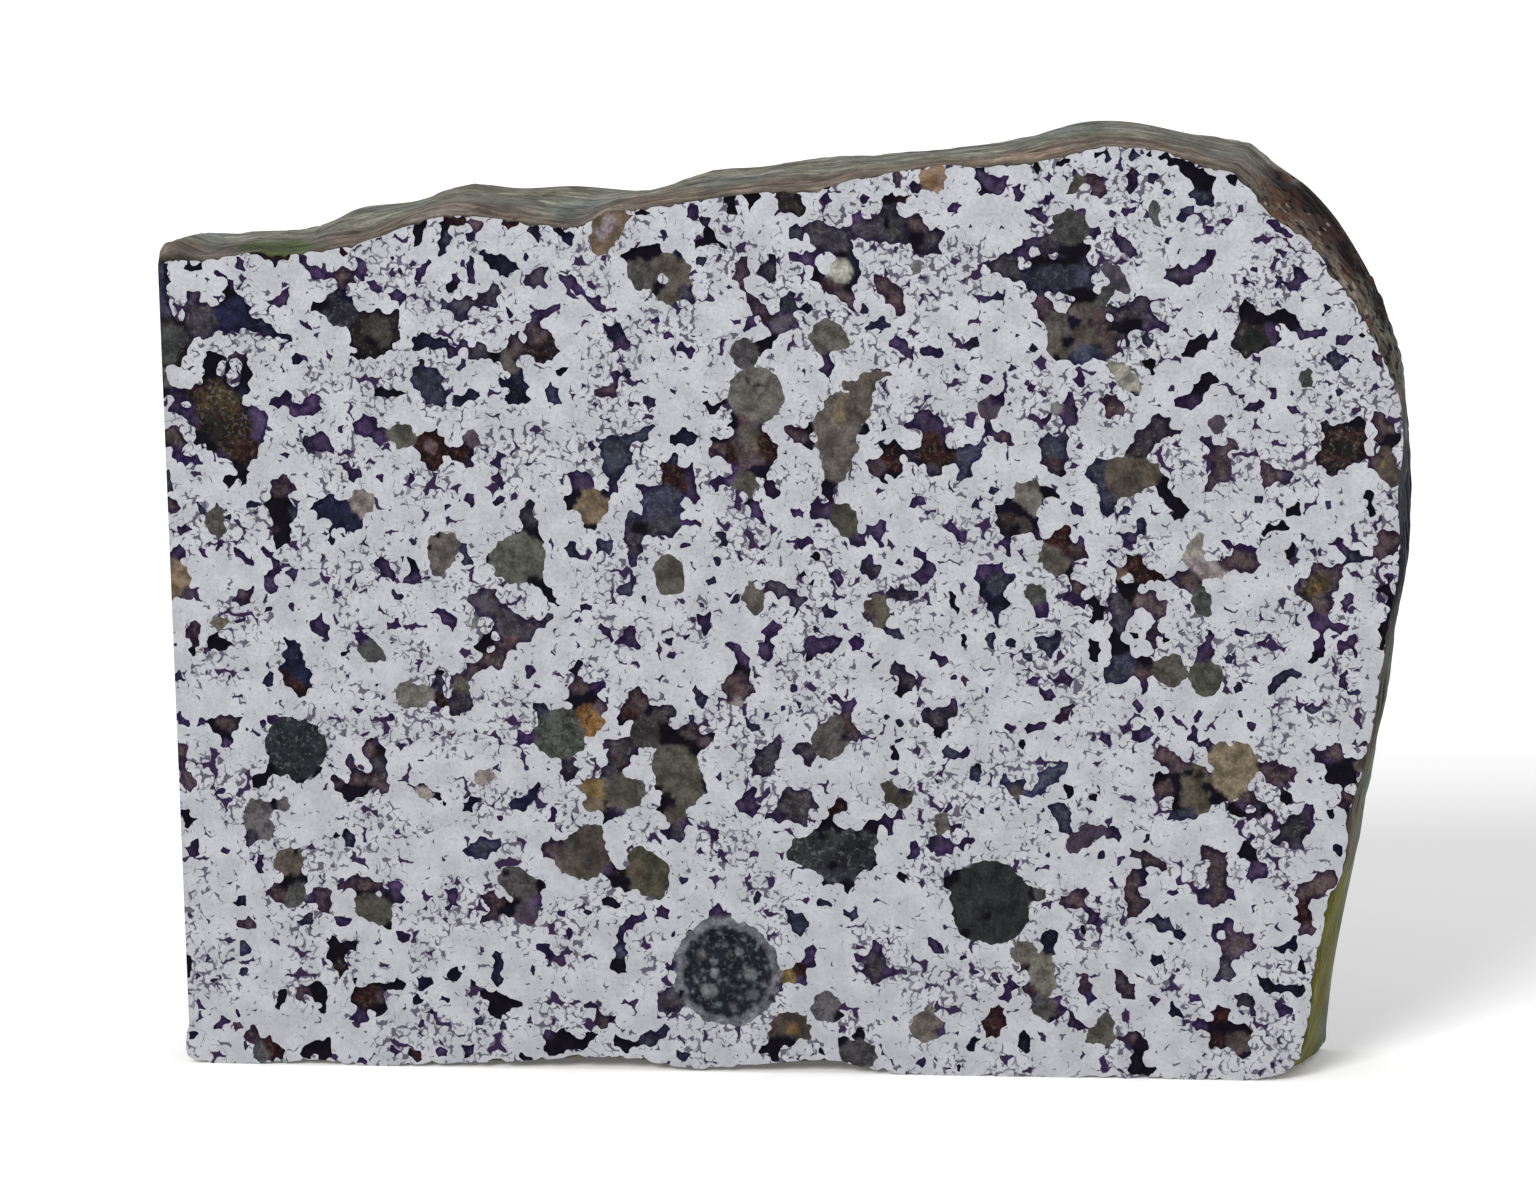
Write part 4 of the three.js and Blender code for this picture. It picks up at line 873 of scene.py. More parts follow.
def string_out(dice, beads, way):
    """Adds up to three beads to an uneven inclusion, each a short way on from the last."""
    for _ in range(dice.randint(0, 3)):
        way += dice.gauss(0, 0.7)
        x, z, radius = beads[-1]
        step = radius * dice.uniform(0.9, 1.6)
        x, z = x + step * math.cos(way), z + step * math.sin(way)
        beads.append((x, z, max(0.06, radius * dice.uniform(0.5, 1.05))))


def scattered_inclusions(low, high, seed):
    """Inclusions at random over a rectangle, like the polished face's: many small ones, few chondrules."""
    dice = random.Random(seed)
    area = (high[0] - low[0]) * (high[1] - low[1])
    total = sum(number for *_, number in SCATTERED)
    made, taken = [], []
    for kinds, small, large, number in SCATTERED:
        for _ in range(round(area * SCATTERED_PER_AREA * number / total)):
            kind, radius = dice.choice(kinds), dice.uniform(small, large)
            taken.append(free_spot(dice, low, high, radius, taken))
            beads, way = [taken[-1]], dice.uniform(0, math.tau)
            if kind not in ROUND_KINDS:
                string_out(dice, beads, way)
            made.append((kind, np.array(beads)))
    return made


# ---------------------------------------------------------------- the pattern of metal and stone

FIELD_STEP = 0.06  # grid on which inclusions are outlined
FIELD_MARGIN = 0.6  # how far that grid reaches past a cut face
GRAIN = 0.35  # distance between the middles of neighbouring metal grains
GRAIN_RADII = (0.58, 0.88)  # smallest and largest, as shares of that distance
SMALLEST_GRAIN = 0.12  # smallest radius of one beside an inclusion
CORNER_TAPER = 0.5  # how fast an inclusion's corners between grains narrow as they reach out
WAVERS = ((0.2, 0.055), (0.9, 0.06))  # size of the lumps by which edges waver, and how far they do
LATTICE = 128  # random values each way, after which the noise repeats


def smooth_noise(u, v, size, seed):
    """Noise from -1 to 1 at points u, v, with lumps of about that size."""
    lattice = np.random.default_rng(seed).uniform(-1, 1, (LATTICE, LATTICE))
    a, b = u / size, v / size
    i, j = np.floor(a).astype(int), np.floor(b).astype(int)
    f, g = a - i, b - j
    f, g = f * f * (3 - 2 * f), g * g * (3 - 2 * g)
    corner = [[lattice[(i + m) % LATTICE, (j + n) % LATTICE] for n in (0, 1)] for m in (0, 1)]
    low = corner[0][0] * (1 - f) + corner[1][0] * f
    high = corner[0][1] * (1 - f) + corner[1][1] * f
    return low * (1 - g) + high * g


def wavering(values, u, v, seed):
    """Values at points u, v, moved a little by fine and by broad noise."""
    for k, (size, amount) in enumerate(WAVERS):
        values = values + amount * smooth_noise(u, v, size, seed + k)
    return values


def distance_to(beads, u, v):
    """How far points u, v lie outside a tapering string of beads, negative inside it."""
    nearest = np.hypot(u - beads[0][0], v - beads[0][1]) - beads[0][2]
    for (u0, v0, r0), (u1, v1, r1) in zip(beads, beads[1:]):
        du, dv = u1 - u0, v1 - v0
        t = np.clip(((u - u0) * du + (v - v0) * dv) / (du * du + dv * dv), 0, 1)
        nearest = np.minimum(nearest, np.hypot(u - u0 - t * du, v - v0 - t * dv) - (r0 + t * (r1 - r0)))
    return nearest


def window(beads, margin, low, step, shape):
    """The slices of a grid that cover a string of beads and a margin round it."""
    first = (beads[:, :2] - beads[:, 2:] - margin).min(0)
    last = (beads[:, :2] + beads[:, 2:] + margin).max(0)
    start = np.clip(((first - low) / step).astype(int), 0, shape)
    stop = np.clip(((last - low) / step).astype(int) + 2, 0, shape)
    return slice(start[0], stop[0]), slice(start[1], stop[1])


def fullness(beads):
    """How much of its kind's bite and reach an inclusion has, which is less for a small one."""
    return min(1.0, 0.35 + 2.2 * beads[:, 2].max())


class Pattern:
    """Where a cut surface is stony and where it is metal, on a grid over its two directions u and v."""

    def __init__(self, low, high, inclusions, seed):
        self.low = np.array(low) - FIELD_MARGIN
        self.shape = np.ceil((np.array(high) + FIELD_MARGIN - self.low) / FIELD_STEP).astype(int)
        steps = [self.low[i] + FIELD_STEP * np.arange(self.shape[i]) for i in (0, 1)]
        u, v = np.meshgrid(*steps, indexing="ij")
        self.u, self.v = wavering(u, u, v, seed + 1), wavering(v, u, v, seed + 3)
        self.metal = self.metal_cover(*self.metal_grains(inclusions, seed + 7))
        self.stony = np.full(self.shape, -1.0)
        self.finish = np.zeros((*self.shape, 6))
        self.finish[..., :3] = KINDS["v"][0][:3]
        self.lay_stones(inclusions, seed)

    def metal_grains(self, inclusions, seed):
        """Middles and radii of the round metal grains, which stop where an inclusion begins."""
        count = np.ceil(self.shape * FIELD_STEP / GRAIN).astype(int) + 4
        dice = np.random.default_rng(seed)
        low = self.low - 2 * GRAIN
        middles = np.stack(np.meshgrid(*(np.arange(n) + 0.5 for n in count), indexing="ij"), -1)
        middles = low + GRAIN * (middles + dice.uniform(-0.4, 0.4, middles.shape))
        radii = GRAIN * dice.uniform(*GRAIN_RADII, count)
        for kind, beads in inclusions:
            here = window(beads, 0.8, low, GRAIN, count)
            bite = KINDS[kind][1] * fullness(beads)
            away = distance_to(beads, middles[here][..., 0], middles[here][..., 1])
            radii[here] = np.minimum(radii[here], away + bite)
        radii[radii < SMALLEST_GRAIN] = -1
        return low, middles, radii

    def metal_cover(self, low, middles, radii):
        """How deep each point lies inside the nearest metal grain, negative between grains."""
        i = np.floor((self.u - low[0]) / GRAIN).astype(int)
        j = np.floor((self.v - low[1]) / GRAIN).astype(int)
        cover = np.full(self.u.shape, -1.0)
        for m in (-1, 0, 1):
            for n in (-1, 0, 1):
                a, b = np.clip(i + m, 0, len(radii) - 1), np.clip(j + n, 0, radii.shape[1] - 1)
                depth = radii[a, b] - np.hypot(self.u - middles[a, b, 0], self.v - middles[a, b, 1])
                cover = np.maximum(cover, depth)
        return cover

    def lay_stones(self, inclusions, seed):
        """Lays the inclusions down in turn, each reaching into the corners between the grains round it.
        The finish is a tone, then shares of crystals and of rust, and 1 for a kind without a dark edge."""
        near = np.full(self.shape, 9.0)
        dice = np.random.default_rng(seed)
        for kind, beads in inclusions:
            tone, bite, reach, crystals, rust = KINDS[kind]
            size = fullness(beads)
            here = window(beads, 0.4, self.low, FIELD_STEP, self.shape)
            away = distance_to(beads, self.u[here], self.v[here])
            opened = np.maximum(-self.metal[here], -away - bite * size)
            opened = opened - CORNER_TAPER * np.clip(away, 0, 1)
            self.stony[here] = np.maximum(self.stony[here], np.minimum(opened, reach * size - away))
            taken = (away < 0) | ((away < near[here]) & (away < 0.3))
            near[here] = np.where(taken, away, near[here])
            shade = np.exp(dice.normal(0, 0.2)) * np.exp(dice.normal(0, 0.04, 3))
            self.finish[here][taken] = (*(np.array(tone[:3]) * shade), crystals, rust, kind in CLEAR_EDGED)

    def read(self, values, points):
        """The grid's values at points, blended between its four nearest ones."""
        at = (points - self.low) / FIELD_STEP
        i, j = (np.clip(np.floor(at[:, k]).astype(int), 0, self.shape[k] - 2) for k in (0, 1))
        f, g = at[:, 0] - i, at[:, 1] - j
        if values.ndim == 3:
            f, g = f[:, None], g[:, None]
        low = values[i, j] * (1 - f) + values[i + 1, j] * f
        high = values[i, j + 1] * (1 - f) + values[i + 1, j + 1] * f
        return low * (1 - g) + high * g

    def crossings(self, axis, already):
        """Points where a border crosses the grid's lines along an axis, and each line's number among them."""
        first, second = [slice(None), slice(None)], [slice(None), slice(None)]
        first[axis], second[axis] = slice(None, -1), slice(1, None)
        before, after = self.stony[tuple(first)], self.stony[tuple(second)]
        crossed = (before > 0) != (after > 0)
        share = before[crossed] / (before[crossed] - after[crossed])
        spots = np.argwhere(crossed).astype(float)
        spots[:, axis] += np.clip(share, 0.12, 0.88)
        number = np.full(crossed.shape, -1)
        number[crossed] = np.arange(len(spots)) + already
        return self.low + FIELD_STEP * spots, number

    def borders(self):
        """Points and edges along every border between metal and stone."""
        points, across = self.crossings(0, 0)
        more_points, up = self.crossings(1, len(points))
        sides = np.stack([across[:, :-1], up[1:], across[:, 1:], up[:-1]], -1).reshape(-1, 4)
        met = (sides >= 0).sum(1)
        plain = sides[met == 2]
        pairs = plain[plain >= 0].reshape(-1, 2)
        saddles = sides[met == 4]
        edges = np.vstack([pairs, saddles[:, :2], saddles[:, 2:]])
        return np.vstack([points, more_points]), edges


# ---------------------------------------------------------------- meshes

RELIEF = 0.022  # how far stony inclusions lie below the polished metal
RELIEF_REACH = 0.1  # distance from an inclusion's edge at which it lies that deep
INSET_REACH = 0.3  # distance over which its tone turns from its edge's to its middle's
STONY_STEP = 0.115  # distance between mesh points inside an inclusion


def inside(points, outline):
    """Which points lie inside a closed outline."""
    found = np.zeros(len(points), bool)
    a, b = outline, np.roll(outline, -1, axis=0)
    for start in range(0, len(points), 4000):
        x, y = points[start:start + 4000, :1], points[start:start + 4000, 1:]
        straddles = (a[:, 1] > y) != (b[:, 1] > y)
        with np.errstate(divide="ignore", invalid="ignore"):
            meets = a[:, 0] + (y - a[:, 1]) / (b[:, 1] - a[:, 1]) * (b[:, 0] - a[:, 0])
        found[start:start + 4000] = ((straddles & (x < meets)).sum(1) % 2).astype(bool)
    return found


def new_piece(name, points, faces, material):
    """A mesh object of the given points in millimetres, riding with the stone."""
    mesh = bpy.data.meshes.new(name)
    mesh.from_pydata((points * MM).tolist(), [], faces.tolist())
    mesh.materials.append(material)
    piece = bpy.data.objects.new(name, mesh)
    bpy.context.scene.collection.objects.link(piece)
    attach(piece, "root")
    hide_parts("meteorite_slice")
    return piece


def paint(piece, name, kind, domain, values):
    """Stores one value for each point or face of a piece for its material to read."""
    layer = piece.data.attributes.new(name, kind, domain)
    field = {"FLOAT": "value", "FLOAT_VECTOR": "vector", "FLOAT_COLOR": "color"}[kind]
    layer.data.foreach_set(field, np.asarray(values, np.float32).ravel())


def stony_spots(pattern, outline, seed):
    """Mesh points inside the inclusions, in uneven staggered rows."""
    counts = ((outline.max(0) - outline.min(0)) / STONY_STEP).astype(int) + 1
    spots = np.stack(np.meshgrid(*(np.arange(n, dtype=float) for n in counts), indexing="ij"), -1)
    spots[:, 1::2, 0] += 0.5
    jitter = np.random.default_rng(seed).uniform(-0.2, 0.2, spots.shape)
    spots = (outline.min(0) + STONY_STEP * (spots + jitter)).reshape(-1, 2)
    spots = spots[pattern.read(pattern.stony, spots) > 0.035]
    return spots[inside(spots, outline)]


def triangulate(outline, borders, edges, spots):
    """The flat points and triangles of a cut face, and which of the points lie on its outline."""
    rim = len(outline)
    points = np.vstack([outline, borders, spots])
    ring = np.arange(rim)
    edges = np.vstack([np.stack([ring, np.roll(ring, -1)], 1), edges + rim])
    flat, _, faces, came_from, _, _ = delaunay_2d_cdt(
        [Vector(p) for p in points.tolist()], edges.tolist(), [], 1, 1e-5, True,
    )
    flat, faces = np.array([tuple(p) for p in flat]), np.array(faces)
    faces = faces[inside(flat[faces].mean(1), outline)]
    kept, faces = np.unique(faces, return_inverse=True)
    on_rim = np.array([any(k < rim for k in came_from[i]) for i in kept])
    return flat[kept], faces.reshape(-1, 3), on_rim


def cut_surface(name, outline, inclusions, seed, place, flip, material):
    """A flat cut through the stone inside an outline: metal with every inclusion as mesh, a little below it.
    place turns flat points and their depth into space."""
    pattern = Pattern(outline.min(0), outline.max(0), inclusions, seed)
    borders, edges = pattern.borders()
    edges = edges[inside(borders, outline)[edges].any(1)]
    used, edges = np.unique(edges, return_inverse=True)
    spots = stony_spots(pattern, outline, seed + 11)
    flat, faces, on_rim = triangulate(outline, borders[used], edges.reshape(-1, 2), spots)
    stony = pattern.read(pattern.stony, flat)
    depth = RELIEF * np.clip(stony / RELIEF_REACH, 0, 1) * ~on_rim
    is_stone = pattern.read(pattern.stony, flat[faces].mean(1)) > 0
    finish = pattern.read(pattern.finish, flat)
    piece = new_piece(name, place(flat, depth), faces[:, ::-1] if flip else faces, material)
    paint(piece, "flat", "FLOAT_VECTOR", "POINT", np.c_[flat, np.zeros(len(flat))])
    paint(piece, "metal", "FLOAT", "FACE", 1.0 - is_stone)
    paint(piece, "tone", "FLOAT_COLOR", "POINT", np.c_[finish[:, :3], np.ones(len(flat))])
    inset = np.maximum(np.clip(stony / INSET_REACH, 0, 1), finish[:, 5])
    paint(piece, "makeup", "FLOAT_VECTOR", "POINT", np.c_[finish[:, 3:5], inset])
    piece.data.polygons.foreach_set("use_smooth", is_stone)
    print(f"{name}: {len(faces)} triangles, {len(inclusions)} inclusions")


# ---------------------------------------------------------------- the cut faces' material

def cut_stone(name, groups, metal_roughness, grinding, stretch):
    """Iron-nickel with stony inclusions, and with grinding marks drawn out by stretch."""
    material, tree, surface = new_material(name)
    flat, metal, tone = stored(tree, "flat"), stored(tree, "metal", "Fac"), stored(tree, "tone", "Color")
    makeup = put(tree, "ShaderNodeSeparateXYZ", {0: stored(tree, "makeup")}).outputs
    of_stone = {"Place": flat, "Tone": tone, "Crystals": makeup[0], "Rust": makeup[1], "Inset": makeup[2]}
    stony_tone = use_group(tree, groups["mottle"], of_stone)["Tone"]
    specks = use_group(tree, groups["specks"], {"Place": flat, "Amount": 1.0})["Specks"]
    bright = times(tree, metal, maths(tree, "SUBTRACT", 1.0, specks))
    sheen = ramp(tree, flat_noise(tree, flat, 0.9, 2.0), 0.3, 0.7)
    metal_tone = blend_colour(tree, sheen, METAL_DULL, METAL_BRIGHT)
    dark_or_stone = blend_colour(tree, metal, stony_tone, SPECK_TONE)
    tree.links.new(blend_colour(tree, bright, dark_or_stone, metal_tone), surface.inputs["Base Color"])
    tree.links.new(bright, surface.inputs["Metallic"])
    of_tooth = {"Place": place_in_stone(tree), "Scale": 7.0, "Stretch": stretch}
    tooth = use_group(tree, groups["tooth"], of_tooth)["Height"]
    polish = ramp(tree, tooth, 0.3, 0.7, metal_roughness - 0.05, metal_roughness + 0.05)
    tree.links.new(blend_value(tree, bright, 0.6, polish), surface.inputs["Roughness"])
    surface.inputs["Specular IOR Level"].default_value = 0.04
    roughen(tree, surface, times(tree, tooth, grinding), 0.35, 0.02)
    return material


# ---------------------------------------------------------------- the weathered crust

CRUST_FINISHES = {
    "taupe": (110, 100, 90),
    "weathered grey": (120, 120, 110),
    "moss": (80, 90, 60),
    "burnt brown": (40, 30, 30),
    "stone grey": (100, 110, 100),
    "dusk black": (20, 20, 40),
    "dark olive": (80, 75, 60),
    "olive": (100, 100, 40),
}

# Each stretch of crust from its first to its last x and z along the polished face's edge, with its finish
# beside the polished face and beside the cut back.
CRUST_STRETCHES = {
    "top left": ((-22.9, 29.8), (-20, 30.3), "taupe", "weathered grey"),
    "mossy patch": ((-19.2, 30.3), (-17.8, 30.3), "moss", "weathered grey"),
    "top": ((-16.5, 30.5), (17, 33), "taupe", "weathered grey"),
    "rubble shoulder": ((18.3, 32), (21.4, 28.2), "taupe", "burnt brown"),
    "upper right": ((22.4, 26.3), (22.9, 24.6), "taupe", "stone grey"),
    "dark patch": ((23, 23.2), (22.6, 18), "dusk black", "dusk black"),
    "right side": ((22.2, 15.5), (20.8, 9.2), "dark olive", "stone grey"),
    "waxy foot": ((20.3, 7.2), (18.7, 0.6), "olive", "stone grey"),
    "underside": ((15, 0), (-22.7, 0.6), "taupe", "taupe"),
}

CRUST_ROWS = 61  # points across the crust, from face to face
RIND_DRIFT = 2.4  # how far the tones wander along the crust
RIND_WANDER = 0.22  # how far their border wanders across it, as a share of the way
RIND_BLEND = 0.26  # share of the way across over which one tone turns into the other
RIND_MOTTLE = 0.42  # how far the crust lightens and darkens within a stretch
RIND_WARMTH = 0.12  # and how far it turns warmer and cooler
BROAD_SWELL = 0.1
LUMPS, RUBBLE_LUMPS = 0.035, 0.09
GROOVE_DEPTH = 0.13
PIT_DEPTH, RUBBLE_PITS = 0.06, 0.25
LIP_RISE = 0.78  # of the crust behind the polished face's top left corner
SHADED_LIP = (0, 0.012, 0.03, 0.09, 0.14), (0.28, 0.45, 1.0, 1.14, 1)  # share of the way across, and shade


def mottle_at(along, share):
    """How much of each colour the crust keeps at a place, where patches are lighter, darker or warmer."""
    patches = noise.noise((along * 0.5, share * 2.5, 31)) + 0.6 * noise.noise((along * 1.6, share * 5, 37))
    warmth = RIND_WARMTH * noise.noise((along * 0.35, share * 2, 43))
    light = RIND_MOTTLE * patches
    return [math.exp(light + warmth), math.exp(light), math.exp(light - warmth)]


def rind_tones(edge, across):
    """The rind's colour at every point of its edge and every share of the way across."""
    shown = {name: ink(*tone, light=RIND_LIGHT)[:3] for name, tone in CRUST_FINISHES.items()}
    stops = []
    for first, last, near, far in CRUST_STRETCHES.values():
        for spot in (first, last):
            column = int(np.argmin(np.hypot(*(edge - spot).T)))
            stops.append((column, shown[near], shown[far]))
    columns, *tones = zip(*sorted(stops))
    at = np.arange(len(edge))
    drift = [[noise.noise((k * RIM_STEP * 0.8, share * 5, 8)) for share in across] for k in at]
    here = at[:, None] + np.array(drift) * RIND_DRIFT / RIM_STEP * np.clip(across[None] / 0.3, 0, 1)
    near, far = (np.stack([np.interp(here, columns, side) for side in zip(*tone)], -1) for tone in tones)
    border = np.array([noise.noise((k * RIM_STEP * 0.7, 3.1, 0)) for k in at]) * RIND_WANDER
    border = border + [0.22 + 0.3 * wax_at(x, z) for x, z in edge]
    share = np.clip((across[None] - border[:, None]) / RIND_BLEND, 0, 1)[:, :, None]
    mottle = np.array([[mottle_at(k * RIM_STEP, way) for way in across] for k in at])
    return (near * (1 - share) + far * share) * mottle


def eased(value):
    """The value held to 0..1, leaving both ends gently."""
    held = min(1.0, max(0.0, value))
    return held * held * (3 - 2 * held)


def rubble_at(x, z):
    """1 where the crust is loose rubble, on the upper right shoulder, and 0 elsewhere."""
    return eased((x - 17.2) / 0.9) * eased((z - 24.3) / 1.6) * eased((35 - z) / 2)


def wax_at(x, z):
    """1 where the crust is smooth and waxy, low on the right side."""
    return eased((x - 17.5) / 0.5) * eased((10.5 - z) / 3)


def groove_at(along, y):
    """1 at the bottom of the wandering grooves between the crust's layers, 0 between them."""
    drift = 1.3 * noise.noise((along * 0.17, y * 0.3, 11)) + 0.3 * noise.noise((along * 0.8, y * 0.9, 2))
    across_layer = abs((y * 1.15 + drift) % 1 - 0.5) * 2
    depth = eased(0.45 + 1.6 * noise.noise((along * 0.33, y * 0.55, 23)))
    return depth * (1 - eased(across_layer / 0.45))


def weathering(along, y, rubble, wax, groove):
    """How far the crust swells out or is worn in at a place."""
    broad = noise.noise((along * 0.22, y * 0.6, 5))
    lumps = noise.noise((along * 1.5, y * 1.9, 7))
    grit = max(0.0, noise.noise((along * 3.6, y * 3.8, 17)) - 0.2)
    worn = GROOVE_DEPTH * groove * (1 - wax) + grit * (PIT_DEPTH + RUBBLE_PITS * rubble) * (1 - wax)
    return BROAD_SWELL * broad + (LUMPS + RUBBLE_LUMPS * rubble) * lumps * (1 - 0.6 * wax) - worn


def corner_lip(x, share):
    """How far the crust rises behind the polished face's top left corner."""
    rounded = 0.6 + 0.4 * eased((x + 23) / 0.35)
    return LIP_RISE * eased((-21.2 - x) / 1.7) * rounded * min(1.0, share * 16) * (1 - share)


def crust_grid(front, back, along, across):
    """Points over the weathered outside, the CAD solid's own side with ridges, dents and pits worked into it,
    and at each point how far it is rubble, wax and groove."""
    corners, sides = stone.data.vertices, stone.data.polygons
    solid = BVHTree.FromPolygons([corner.co / MM for corner in corners], [tuple(s.vertices) for s in sides])
    out = outward_of((front + back) / 2)
    thickness = BACK_Y - FRONT_Y
    last = len(front) - 1
    points = np.zeros((len(front), len(across), 3))
    coat = np.zeros_like(points)
    for i in range(len(front)):
        outwards = Vector((out[i, 0], 0, out[i, 1]))
        ends = min(1.0, along[i] / CLEAR_OF_ENDS, (along[-1] - along[i]) / CLEAR_OF_ENDS)
        for j, share in enumerate(across):
            x, z = front[i] * (1 - share) + back[i] * share
            spot = Vector((x, FRONT_Y + thickness * share, z))
            groove = groove_at(along[i], spot.y)
            edge = min(share, 1 - share) * thickness
            if 0 < edge and 0 < i < last:
                hit = solid.ray_cast(spot - outwards * 0.6, outwards, 1.5)[0]
                spot = spot.lerp(hit if hit is not None else spot, min(1.0, edge / 0.3))
                free = min(1.0, edge / 0.35) * ends * min(1.0, max(0.0, spot.z) / 0.5)
                rubble, wax = rubble_at(spot.x, spot.z), wax_at(spot.x, spot.z)
                spot = spot + outwards * (free * weathering(along[i], spot.y, rubble, wax, groove))
            if z > 20:
                spot.z += corner_lip(x, share)
            points[i, j] = (spot.x, spot.y, max(0.0, spot.z))
            coat[i, j] = (rubble_at(x, z), wax_at(x, z), groove * (1 - wax_at(x, z)))
    return points, coat


def crust_surface(front, back, along, material):
    """The weathered outside as a piece. Returns its points, by place along the edge and across."""
    across = np.linspace(0, 1, CRUST_ROWS)
    points, coat = crust_grid(front, back, along, across)
    number = np.arange(points[..., 0].size).reshape(points.shape[:2])
    faces = np.stack([number[:-1, :-1], number[:-1, 1:], number[1:, 1:], number[1:, :-1]], -1).reshape(-1, 4)
    piece = new_piece("weathered_crust", points.reshape(-1, 3), faces, material)
    piece.data.polygons.foreach_set("use_smooth", np.ones(len(faces), bool))
    lip = np.interp(across, *SHADED_LIP)
    tones = (rind_tones(front, across) * lip[None, :, None]).reshape(-1, 3)
    paint(piece, "tone", "FLOAT_COLOR", "POINT", np.c_[tones, np.ones(len(tones))])
    run = np.stack(np.broadcast_arrays(along[:, None], (BACK_Y - FRONT_Y) * across[None], 0.0), -1)
    paint(piece, "run", "FLOAT_VECTOR", "POINT", run.reshape(-1, 3))
    paint(piece, "coat", "FLOAT_VECTOR", "POINT", coat.reshape(-1, 3))
    print(f"weathered_crust: {2 * len(faces)} triangles")
    return points


def rubble_marks(tree, place, tone, rubble):
    """Russet stains, dark pits and pale crystals where the crust is rubble."""
    stain = times(tree, ramp(tree, grain_noise(tree, place, 0.9, 2.0), 0.5, 0.66), rubble)
    tone = blend_colour(tree, times(tree, stain, 0.75), tone, RUSSET)
    pits = times(tree, ramp(tree, grain_noise(tree, place, 2.6, 2.0), 0.52, 0.62), rubble)
    tone = blend_colour(tree, times(tree, pits, 0.9), tone, DARK_CRYSTAL)
    of_bead = {"Vector": place, "Scale": 1.7, "Randomness": 1.0}
    bead = put(tree, "ShaderNodeTexVoronoi", of_bead, feature="F1").outputs
    lot = put(tree, "ShaderNodeSeparateColor", {0: bead["Color"]}).outputs[0]
    crystal = times(tree, ramp(tree, bead["Distance"], 0.2, 0.13), ramp(tree, lot, 0.55, 0.6))
    return blend_colour(tree, times(tree, crystal, times(tree, rubble, 0.7)), tone, SCUFF)


def crust_material(groups):
    """Weathering rind in streaks along the edge, with pale scuffs, painted shade in its grooves, and rubble.
    """
    material, tree, surface = new_material("weathered_rind")
    place, run, tone = place_in_stone(tree), stored(tree, "run"), stored(tree, "tone", "Color")
    rubble, wax, groove = put(tree, "ShaderNodeSeparateXYZ", {0: stored(tree, "coat")}).outputs
    bands = stretched(tree, run, (0.32, 1.9, 1))
    streak = grain_noise(tree, bands, 1.0, 4.0, 0.66, 0.5)
    thread = grain_noise(tree, stretched(tree, run, (0.8, 6.5, 1)), 1.0, 3.0, 0.6, 0.3)
    fine = grain_noise(tree, place, 6.0, 3.0, 0.6)
    shade = blend_value(tree, wax, ramp(tree, streak, 0.28, 0.72, 0.44, 1.56), 1.0)
    shade = times(tree, shade, ramp(tree, thread, 0.3, 0.7, 0.62, 1.36))
    shade = times(tree, shade, ramp(tree, fine, 0.3, 0.7, 0.85, 1.15))
    # Painted shade: darker towards the bottoms of the grooves that the crust's mesh also cuts in.
    shade = times(tree, shade, ramp(tree, groove, 0.0, 1.0, 1.06, 0.55))
    tone = scaled(tree, tone, shade)
    scuff = ramp(tree, grain_noise(tree, bands, 2.3, 3.0, 0.6), 0.6, 0.74)
    tone = blend_colour(tree, times(tree, scuff, 0.4), tone, SCUFF)
    tree.links.new(rubble_marks(tree, place, tone, rubble), surface.inputs["Base Color"])
    tree.links.new(ramp(tree, streak, 0.3, 0.7, 0.5, 0.72), surface.inputs["Roughness"])
    surface.inputs["Specular IOR Level"].default_value = 0.06
    of_tooth = {"Place": place, "Scale": 5.0, "Stretch": (1, 1, 1)}
    tooth = use_group(tree, groups["tooth"], of_tooth)["Height"]
    ridges = times(tree, thread, maths(tree, "SUBTRACT", 1.3, wax))
    roughen(tree, surface, maths(tree, "ADD", tooth, ridges), 0.6, 0.08)
    return material


# ---------------------------------------------------------------- the slice

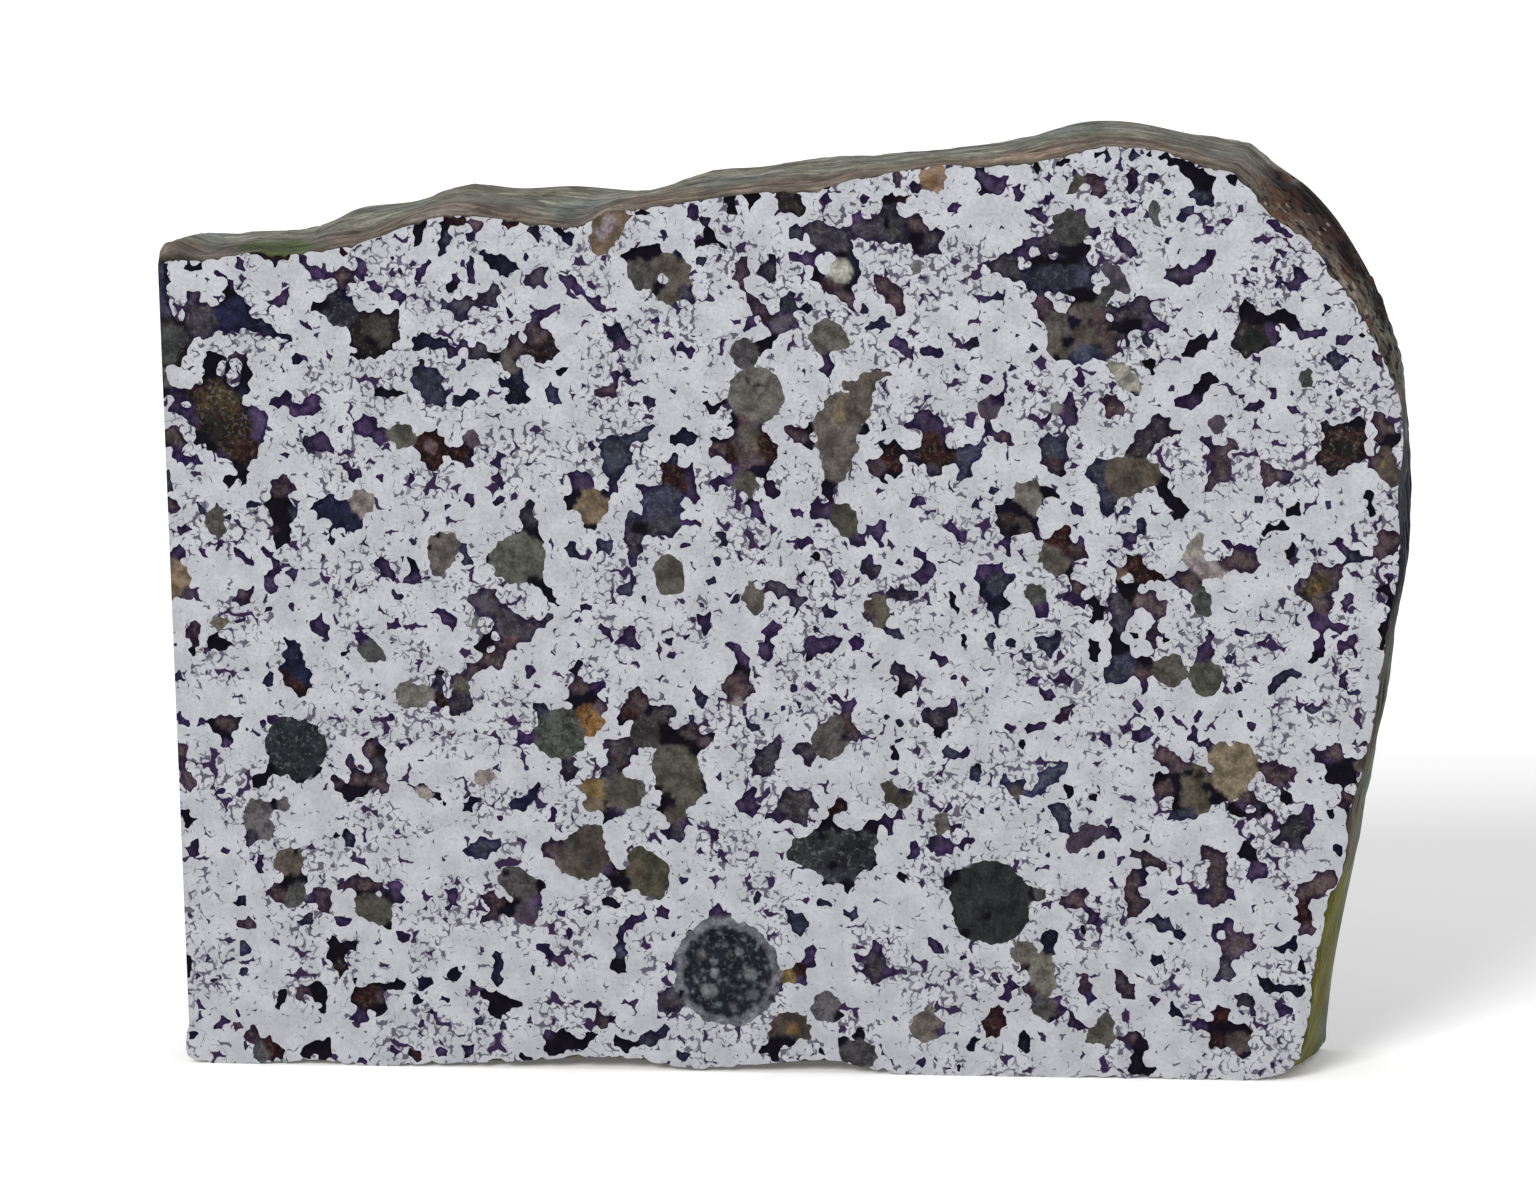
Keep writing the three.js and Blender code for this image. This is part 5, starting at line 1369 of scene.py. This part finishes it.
def level_cut(y, inward):
    """Turns x and z on a cut face at y, and depths below it, into space."""
    return lambda flat, depth: np.stack([flat[:, 0], y + inward * depth, flat[:, 1]], 1)


def saw_the_end(front, back, sides, crust, material):
    """The straight sawn end, between the two faces' sides and the ends of the crust."""
    top, foot = crust[0][:, [1, 2]], crust[-1][:, [1, 2]]
    front_side, back_side = (
        np.c_[np.full(len(side), y), side[:, 1]] for side, y in zip(sides, (FRONT_Y, BACK_Y))
    )
    outline = np.vstack([top, back_side[::-1], foot[::-1], front_side])

    def sloping_cut(flat, depth):
        """Turns y and z on the sawn end, and depths below it, into space."""
        share = (flat[:, 1] - foot[0, 1]) / (top[0, 1] - foot[0, 1])
        x = front[-1, 0] + share * (front[0, 0] - front[-1, 0])
        return np.stack([x + depth, flat[:, 0], flat[:, 1]], 1)

    scattered = scattered_inclusions(outline.min(0), outline.max(0), seed=51)
    cut_surface("sawn_end", outline, scattered, 52, sloping_cut, True, material)


def make_slice():
    """The whole slice as four pieces: its crust, its polished face, its cut back and its sawn end."""
    groups = {"specks": specks_group(), "mottle": mottle_group(), "tooth": tooth_group()}
    polished = cut_stone("polished_stone", groups, metal_roughness=0.38, grinding=0.2, stretch=(1, 1, 1))
    ground = cut_stone("ground_stone", groups, metal_roughness=0.46, grinding=0.8, stretch=(0.15, 1, 1))
    front, back, along = natural_edges()
    crust = crust_surface(front, back, along, crust_material(groups))

    count = int(np.hypot(*(front[0] - front[-1])) / RIM_STEP)
    rise = np.linspace(0, 1, count)[1:-1, None]
    sides = [edge[-1] + rise * (edge[0] - edge[-1]) for edge in (front, back)]
    front_outline, back_outline = np.vstack([front, sides[0]]), np.vstack([back, sides[1]])

    inclusions = read_inclusions(FACE_INCLUSIONS) + rimmed_chondrule(seed=5)
    cut_surface("polished_face", front_outline, inclusions, 21, level_cut(FRONT_Y, 1), False, polished)
    scattered = scattered_inclusions(back.min(0), back.max(0), seed=33)
    cut_surface("cut_back", back_outline, scattered, 34, level_cut(BACK_Y, -1), True, ground)
    saw_the_end(front, back, sides, crust, ground)


place_camera()
light_the_sky()
hang_the_lamp()
lay_the_floor()
make_slice()
